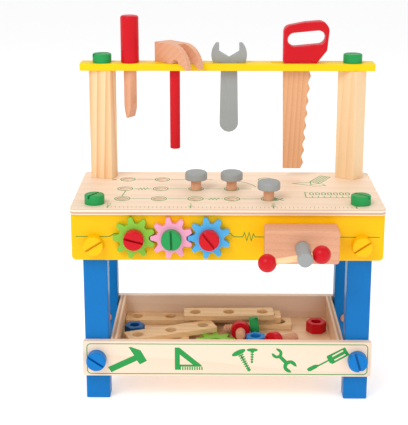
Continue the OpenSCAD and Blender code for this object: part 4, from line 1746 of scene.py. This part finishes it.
@dataclass
class Prints:
    """The green pictures and lines printed on the bench."""

    ink: float = 0.08
    overprint: float = 0.012
    line: float = 1.2
    fine: float = 1.2
    ring_r: float = 10.4
    ring_w: float = 1.5
    line_from: float = 12.4

    def sheet(self, outlines: list[list[Outline]]) -> Shape:
        """Thin ink shapes side by side.

        Args:
            outlines: For each shape its outer outline, and then its holes.

        Returns:
            The ink, lying on zero.
        """
        made = Shape()
        for i, (outer, *holes) in enumerate(outlines):
            made.add(slab(outer, self.ink + self.overprint * (i % 8), holes, soft=0.0))
        return made

    def stamp(
        self, name: str, outlines: list[list[Outline]], place: Matrix, ink: Ink = PRINT
    ) -> None:
        """Prints a set of ink shapes on the bench.

        Args:
            name: Name of the piece.
            outlines: For each shape its outer outline, and then its holes.
            place: The face that is printed on.
            ink: The ink.
        """
        piece(name, self.sheet(outlines).at(place), ink, flat=True)

    def apron(self, front_d: float) -> None:
        """The line that runs behind the gears, with its zigzag.

        Args:
            front_d: Depth of the apron's front face.
        """
        left = [(-203, 240.4), (-158, 240.4), (-151.5, 244.4), (-140, 244.4)]
        middle = [
            (-2, 245), (4, 245), (8.6, 240.5), (20.4, 240.4), (22.6, 246.4), (25.8, 235.2),
            (28.8, 246.4), (31.8, 235.2), (34.4, 244.6), (36.4, 240.4), (60, 240.4),
        ]
        right = [(140, 240.4), (203, 240.4)]
        shapes = [stroke(path, self.line) for path in (left, middle, right)]
        self.stamp("apron_print", shapes, upright(front_d), APRON_PRINT)

    def tray_icons(self) -> list[list[Outline]]:
        """Outlines of the five printed tools.

        Returns:
            For each shape its outer outline, and then its holes.
        """
        hammer = [
            (-135, 81), (-131.4, 81), (-118.4, 76.2), (-110, 60.6), (-119.8, 55.2), (-123.6, 61),
            (-159.2, 43.4), (-163.8, 51), (-127.6, 68.6),
        ]
        square = [
            (-71.5, 80.6), (-65.4, 80.6), (-34.6, 54.2), (-34.6, 52.2), (-43.4, 52.2), (-63.1, 52.2),
            (-63.1, 47.4), (-71.5, 47.4),
        ]
        void = [(-64.6, 70), (-64.6, 55.2), (-46.8, 55.2)]
        comb = [rounded(1.8, 4.6, 0.1, -60.6 + 3.3 * i, 49.4, 1) for i in range(9)]

        def leaf(cx: float, cy: float, a: float, b: float, turn: float) -> Outline:
            """An ellipse, turned."""
            return swung([(a * x, b * y) for x, y in ring(1, count=28)], turn, cx, cy)

        def threaded(top: Point, tip: Point, wide: float, rungs: int) -> list[list[Outline]]:
            """A printed screw's shank: rungs that narrow to a point.

            Args:
                top: Where it leaves the head.
                tip: Its point.
                wide: Width of the first rung.
                rungs: Number of rungs.

            Returns:
                The outlines of its shapes.
            """
            start, finish = Vector(top), Vector(tip)
            run = finish - start
            side = Vector((-run.y, run.x)).normalized()
            found = []
            for i in range(rungs):
                here = start + run * (i / rungs)
                there = here + run * (0.55 / rungs)
                w = wide * (1 - 0.35 * i / rungs) / 2
                corners = (here + side * w, here - side * w, there - side * w, there + side * w)
                found.append([[tuple(corner) for corner in corners]])
            w = wide * 0.36
            neck = start + run * 0.8
            found.append([[tuple(neck + side * w), tuple(neck - side * w), tuple(finish)]])
            found.append(stroke([tuple(start), tuple(start + run * 0.85)], wide * 0.3))
            return found

        def jaw(cx: float, cy: float, r: float, turn: float) -> list[Outline]:
            """One open end of the printed wrench.

            Args:
                cx: Its centre across.
                cy: Its centre up.
                r: Its radius.
                turn: Where it opens, in degrees.

            Returns:
                Its outline, as a shape without holes.
            """
            mouth = 36
            outer = arc(0, 0, r, mouth, 360 - mouth, 22)
            bite = [(0.45, -0.45), (-0.25, -0.42), (-0.45, 0), (-0.25, 0.42), (0.45, 0.45)]
            return [swung(outer + [(r * x, r * y) for x, y in bite], turn, cx, cy)]

        shapes = [[hammer], [square, void], *[[tooth] for tooth in comb]]
        shapes += [[leaf(16.2, 73.4, 10.2, 3.6, 26)], *threaded((19, 70.2), (32, 45.0), 7.2, 8)]
        shapes += [[leaf(34.9, 77.4, 7.6, 2.5, 0)], *threaded((34.9, 75.4), (34.4, 57.0), 4.8, 5)]
        shapes += [jaw(69, 72.4, 7.4, 140), jaw(87, 53.2, 9.2, -40)]
        shapes += [stroke([(72, 68.8), (82.6, 57.6)], 5.2)]
        handle = [
            (161.6, 82), (168.4, 70.9), (145.6, 57.2), (141.6, 58.6), (137, 67), (137.6, 69.2),
        ]
        blade = [
            (126.4, 56), (124.6, 51.6), (116, 46.6), (112.4, 46), (110.4, 49.4), (113, 52), (121, 56),
        ]
        way = Vector((0.857, 0.515))
        slots = []
        for shift in (-1.0, 1.0):
            middle = Vector((153.6, 69.9)) + Vector((-way.y, way.x)) * 3.2 * shift
            ends = [tuple(middle - way * 8.6), tuple(middle + way * 8.6)]
            slots += stroke(ends, 2.1)
        shapes += [[handle, *slots], stroke([(141.4, 63.4), (125, 53.9)], 2.3), [blade]]
        return shapes

    def tray(self, front_d: float) -> None:
        """The frame line and the five tools on the tray's front.

        Args:
            front_d: Depth of the board's front face.
        """
        self.stamp("tray_tool_print", self.tray_icons(), upright(front_d))
        border = stroke(rounded(385.4, 44.2, 5.5, 0.4, 63.5), self.line, closed=True)
        self.stamp("tray_frame_print", [border], upright(front_d))

    def digit(self, number: int, x: float, y: float, size: float) -> list[list[Outline]]:
        """Plain strokes of a ruler's number.

        Args:
            number: From 0 to 3.
            x: Its middle across.
            y: Its foot.
            size: Its height.

        Returns:
            Outlines of its strokes.
        """
        w = size * 0.3
        paths = {
            0: rounded(2 * w, size, w * 0.9, 0, size / 2, 4),
            1: [(-w * 0.6, size * 0.75), (0, size), (0, 0)],
            2: [(-w, size * 0.8), (-w * 0.4, size), (w * 0.6, size), (w, size * 0.75), (-w, 0), (w, 0)],
            3: [(-w, size), (w, size), (0, size * 0.6), (w, size * 0.35), (w * 0.5, 0), (-w, 0.4)],
        }
        path = [(x + px, y + py) for px, py in paths[number]]
        return [stroke(path, 0.7, closed=number == 0)]

    def tabletop(self, bench: Bench) -> None:
        """Rings, circuit lines, rulers and a pencil on the tabletop.

        Args:
            bench: The bench with the holes.
        """
        x0, pitch = bench.hole_x, bench.hole_pitch
        d0, d1, d2 = (bench.hole_d + r * pitch for r in range(3))
        columns = [x0 + c * pitch for c in range(5)]
        place = spot(0, 0, bench.top_z)
        shapes: list[list[Outline]] = []

        gap = self.line_from

        def run(a: float, b: float, d: float) -> list[Outline]:
            """A straight line between two rings."""
            return stroke([(a + gap, d), (b - gap, d)], self.fine)

        def zigzag(a: float, b: float, d: float) -> list[Outline]:
            """A line with a resistor's zigzag in its middle.

            Args:
                a: Centre of the ring on the left.
                b: Centre of the ring on the right.
                d: Depth of both.

            Returns:
                The line's outline.
            """
            m, swing = (a + b) / 2, 4.2
            teeth = [(m - 6 + 2.4 * i, d + (swing if i % 2 else -swing)) for i in range(6)]
            path = [(a + gap, d), (m - 7, d)] + teeth + [(m + 7.4, d), (b - gap, d)]
            return stroke(path, self.fine)

        c = columns
        shapes += [run(c[0], c[1], d0), run(c[1], c[2], d0)]
        shapes += [zigzag(c[2], c[3], d0), run(c[3], c[4], d0)]
        shapes += [zigzag(c[0], c[1], d1), run(c[1], c[2], d1), run(c[2], c[3], d1)]
        shapes += [stroke([(c[3] + gap, d1), (c[4] - 22, d1)], self.fine)]
        shapes += [run(c[0], c[1], d2), run(c[1], c[2] + 36, d2)]
        shapes += [stroke([(c[0] - 1.5, d0 + 12), (c[0] + 1.5, d1 - 12)], self.fine)]
        shapes += [stroke([(4, 146), (17.6, 140), (29, 131), (37, 121), (41, 110)], self.fine)]
        shapes += [stroke([(-160, d2 - 1), (-166, d2 - 3)], 3.2)]
        for start, stop in (((66, 53), (76, 42)), ((66, 41), (76, 52.5))):
            shapes.append(stroke([start, stop], 1.6))
        shapes.append(stroke(ring(2.1, 66, 44, 14), 0.8, closed=True))
        shapes.append(stroke(ring(2.1, 66, 51, 14), 0.8, closed=True))
        self.stamp("tabletop_lines", shapes, place)
        self.rings(bench, place)
        self.rulers(place)
        self.pencil(place)

    def rings(self, bench: Bench, place: Matrix) -> None:
        """A printed ring round each peg hole.

        Args:
            bench: The bench with the holes.
            place: The tabletop's upper face.
        """
        band = self.sheet([stroke(ring(self.ring_r, count=56), self.ring_w, closed=True)])
        rows = Shape()
        for r in range(3):
            first = place @ Vector((bench.hole_x, bench.hole_d + r * bench.hole_pitch, 0))
            values = {
                "Count": 5, "First place": first * MM, "Step": Vector((bench.hole_pitch, 0, 0)) * MM,
                "Facing": Vector(), "First turn": 0.0, "Turn step": 0.0, "Finish": PRINT.material(),
            }
            rows.add(shape_of(grow(band.mesh("ring"), Copies.tree(), values)))
        piece("peg_hole_rings", rows, PRINT, flat=True)

    def rulers(self, place: Matrix) -> None:
        """The long ruler along the front edge, and the little one at the right.

        Args:
            place: The tabletop's upper face.
        """
        first = place @ Vector((-160.5, 9.5, self.ink / 2))
        pitch = 5.52
        values = {
            "Count": 61, "First place": first * MM, "Pitch": pitch * MM, "Width": 1.0 * MM,
            "Short": 6.0 * MM, "Long": 9.5 * MM, "Thickness": self.ink * MM,
            "Finish": RULER_PRINT.material(),
        }
        ticks = grow(bpy.data.meshes.new("ticks"), Ticks.tree(), values)
        seat(ticks, "long_ruler_ticks", BENCH, [], flat=True)
        marks: list[list[Outline]] = []
        for i in range(4):
            x = -159.5 + 20 * pitch * i
            marks.append(stroke([(x, 5.0), (x, 15.5)], 1.2))
            marks.append(stroke([(x - 3.4, 13.4), (x, 16.6), (x + 3.4, 13.4)], 0.9))
            marks += self.digit(i, x, 19.5, 7.5)
        self.stamp("long_ruler_marks", marks, place, FINE_PRINT)
        small = [stroke([(172, 57), (108, 57), (108, 83), (112, 83)], self.fine)]
        for i in range(7):
            x = 117 + 8.3 * i
            small.append(stroke(rounded(4.8, 11, 2, x, 76, 3), 1.3, closed=True))
            small.append(stroke([(x, 58), (x, 64)], 1.0))
        self.stamp("small_ruler", small, place)

    def pencil(self, place: Matrix) -> None:
        """A striped pencil and the outline of what it draws.

        Args:
            place: The tabletop's upper face.
        """
        bold, thin, drawn = 1.5, 0.9, 1.1
        neck, far_neck = (120.5, 140.5), (133.6, 130.5)
        end, far_end = (138.2, 172.5), (151.5, 165)
        lines = [stroke([neck, end, far_end, far_neck, (120, 124), neck], bold)]
        for i in range(1, 4):
            a, b = Vector(neck).lerp(Vector(far_neck), i / 4), Vector(end).lerp(Vector(far_end), i / 4)
            lines.append(stroke([tuple(a), tuple(b)], bold))
        lines.append(stroke([neck, (127, 133), far_neck], thin))
        near_page = [(93.5, 129.6), (104, 132.6), (113, 134), (120, 135.6)]
        far_page = [(93.5, 129.6), (108, 124), (124, 115.8), (140.8, 118.6), (136, 127)]
        lines += [stroke(page, drawn) for page in (near_page, far_page)]
        self.stamp("pencil_print", lines, place, FINE_PRINT)

    def build(self, bench: Bench) -> None:
        """Prints everything.

        Args:
            bench: The bench that is printed on.
        """
        self.apron(bench.board_d)
        self.tray(bench.board_d)
        self.tabletop(bench)


@dataclass
class Studio:
    """Pale floor, soft light and the camera."""

    lens: float = 93.2612
    sensor: float = 36.0
    eye: tuple[float, float, float] = (-0.016, -1.456, 0.700)
    pitch: float = -14.72
    yaw: float = -0.63
    shift_up: float = -0.1
    aim_z: float = 0.25
    sky: float = 0.68
    floor_glow: float = 0.32
    floor_reach: float = 30.0

    def floor(self) -> None:
        """A plain pale floor."""
        mesh = bpy.data.meshes.new("floor")
        far = self.floor_reach
        corners = [(-far, -far, 0), (far, -far, 0), (far, far, 0), (-far, far, 0)]
        mesh.from_pydata(corners, [], [(0, 1, 2, 3)])
        made = placed("floor", mesh)
        pale = bpy.data.materials.new("Pale floor")
        pale.use_nodes = True
        shader = pale.node_tree.nodes["Principled BSDF"]
        shader.inputs["Base Color"].default_value = (0.93, 0.93, 0.94, 1)
        shader.inputs["Roughness"].default_value = 0.9
        shader.inputs["Emission Color"].default_value = (1, 1, 1, 1)
        shader.inputs["Emission Strength"].default_value = self.floor_glow
        mesh.materials.append(pale)

    def light(self, name: str, place: tuple[float, float, float], power: float, size: float) -> None:
        """A soft square lamp aimed at the bench.

        Args:
            name: Its name.
            place: Where it stands, in metres.
            power: Its power in watts.
            size: Its side in metres.
        """
        lamp = bpy.data.lights.new(name, "AREA")
        lamp.energy, lamp.size = power, size
        made = placed(name, lamp)
        made.location = place
        aim = Vector((0, 0, self.aim_z)) - Vector(place)
        made.rotation_euler = aim.to_track_quat("-Z", "Y").to_euler()

    def camera(self) -> None:
        """The camera, at the usual view of the bench."""
        data = bpy.data.cameras.new("camera")
        data.sensor_width, data.lens, data.shift_y = self.sensor, self.lens, self.shift_up
        made = placed("camera", data)
        made.location = self.eye
        made.rotation_euler = (math.radians(90 + self.pitch), 0, math.radians(-self.yaw))
        bpy.context.scene.camera = made

    def build(self) -> None:
        """Sets up floor, world, lamps and camera."""
        self.floor()
        world = bpy.data.worlds.new("Studio")
        world.use_nodes = True
        sky = world.node_tree.nodes["Background"]
        sky.inputs[0].default_value = (1, 1, 1, 1)
        sky.inputs[1].default_value = self.sky
        bpy.context.scene.world = world
        self.light("Key", (-1.1, -1.5, 2.1), 27, 1.2)
        self.light("Fill", (1.7, -1.3, 1.3), 7, 1.6)
        self.light("Back", (0.2, 1.6, 1.8), 8, 1.4)
        self.camera()
        bpy.context.scene.view_settings.view_transform = "Standard"


def main() -> None:
    """Builds the studio and every part of the bench."""
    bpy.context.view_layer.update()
    Studio().build()
    bench, vise = Bench(), Vise()
    bench.build(vise)
    Tray().build()
    GearTrain().build()
    vise.build()
    Pegs().build(bench)
    Tools().build()
    TrayContents().build()
    Prints().build(bench)


if __name__ == "__main__":
    logging.basicConfig(level=logging.INFO)
    main()
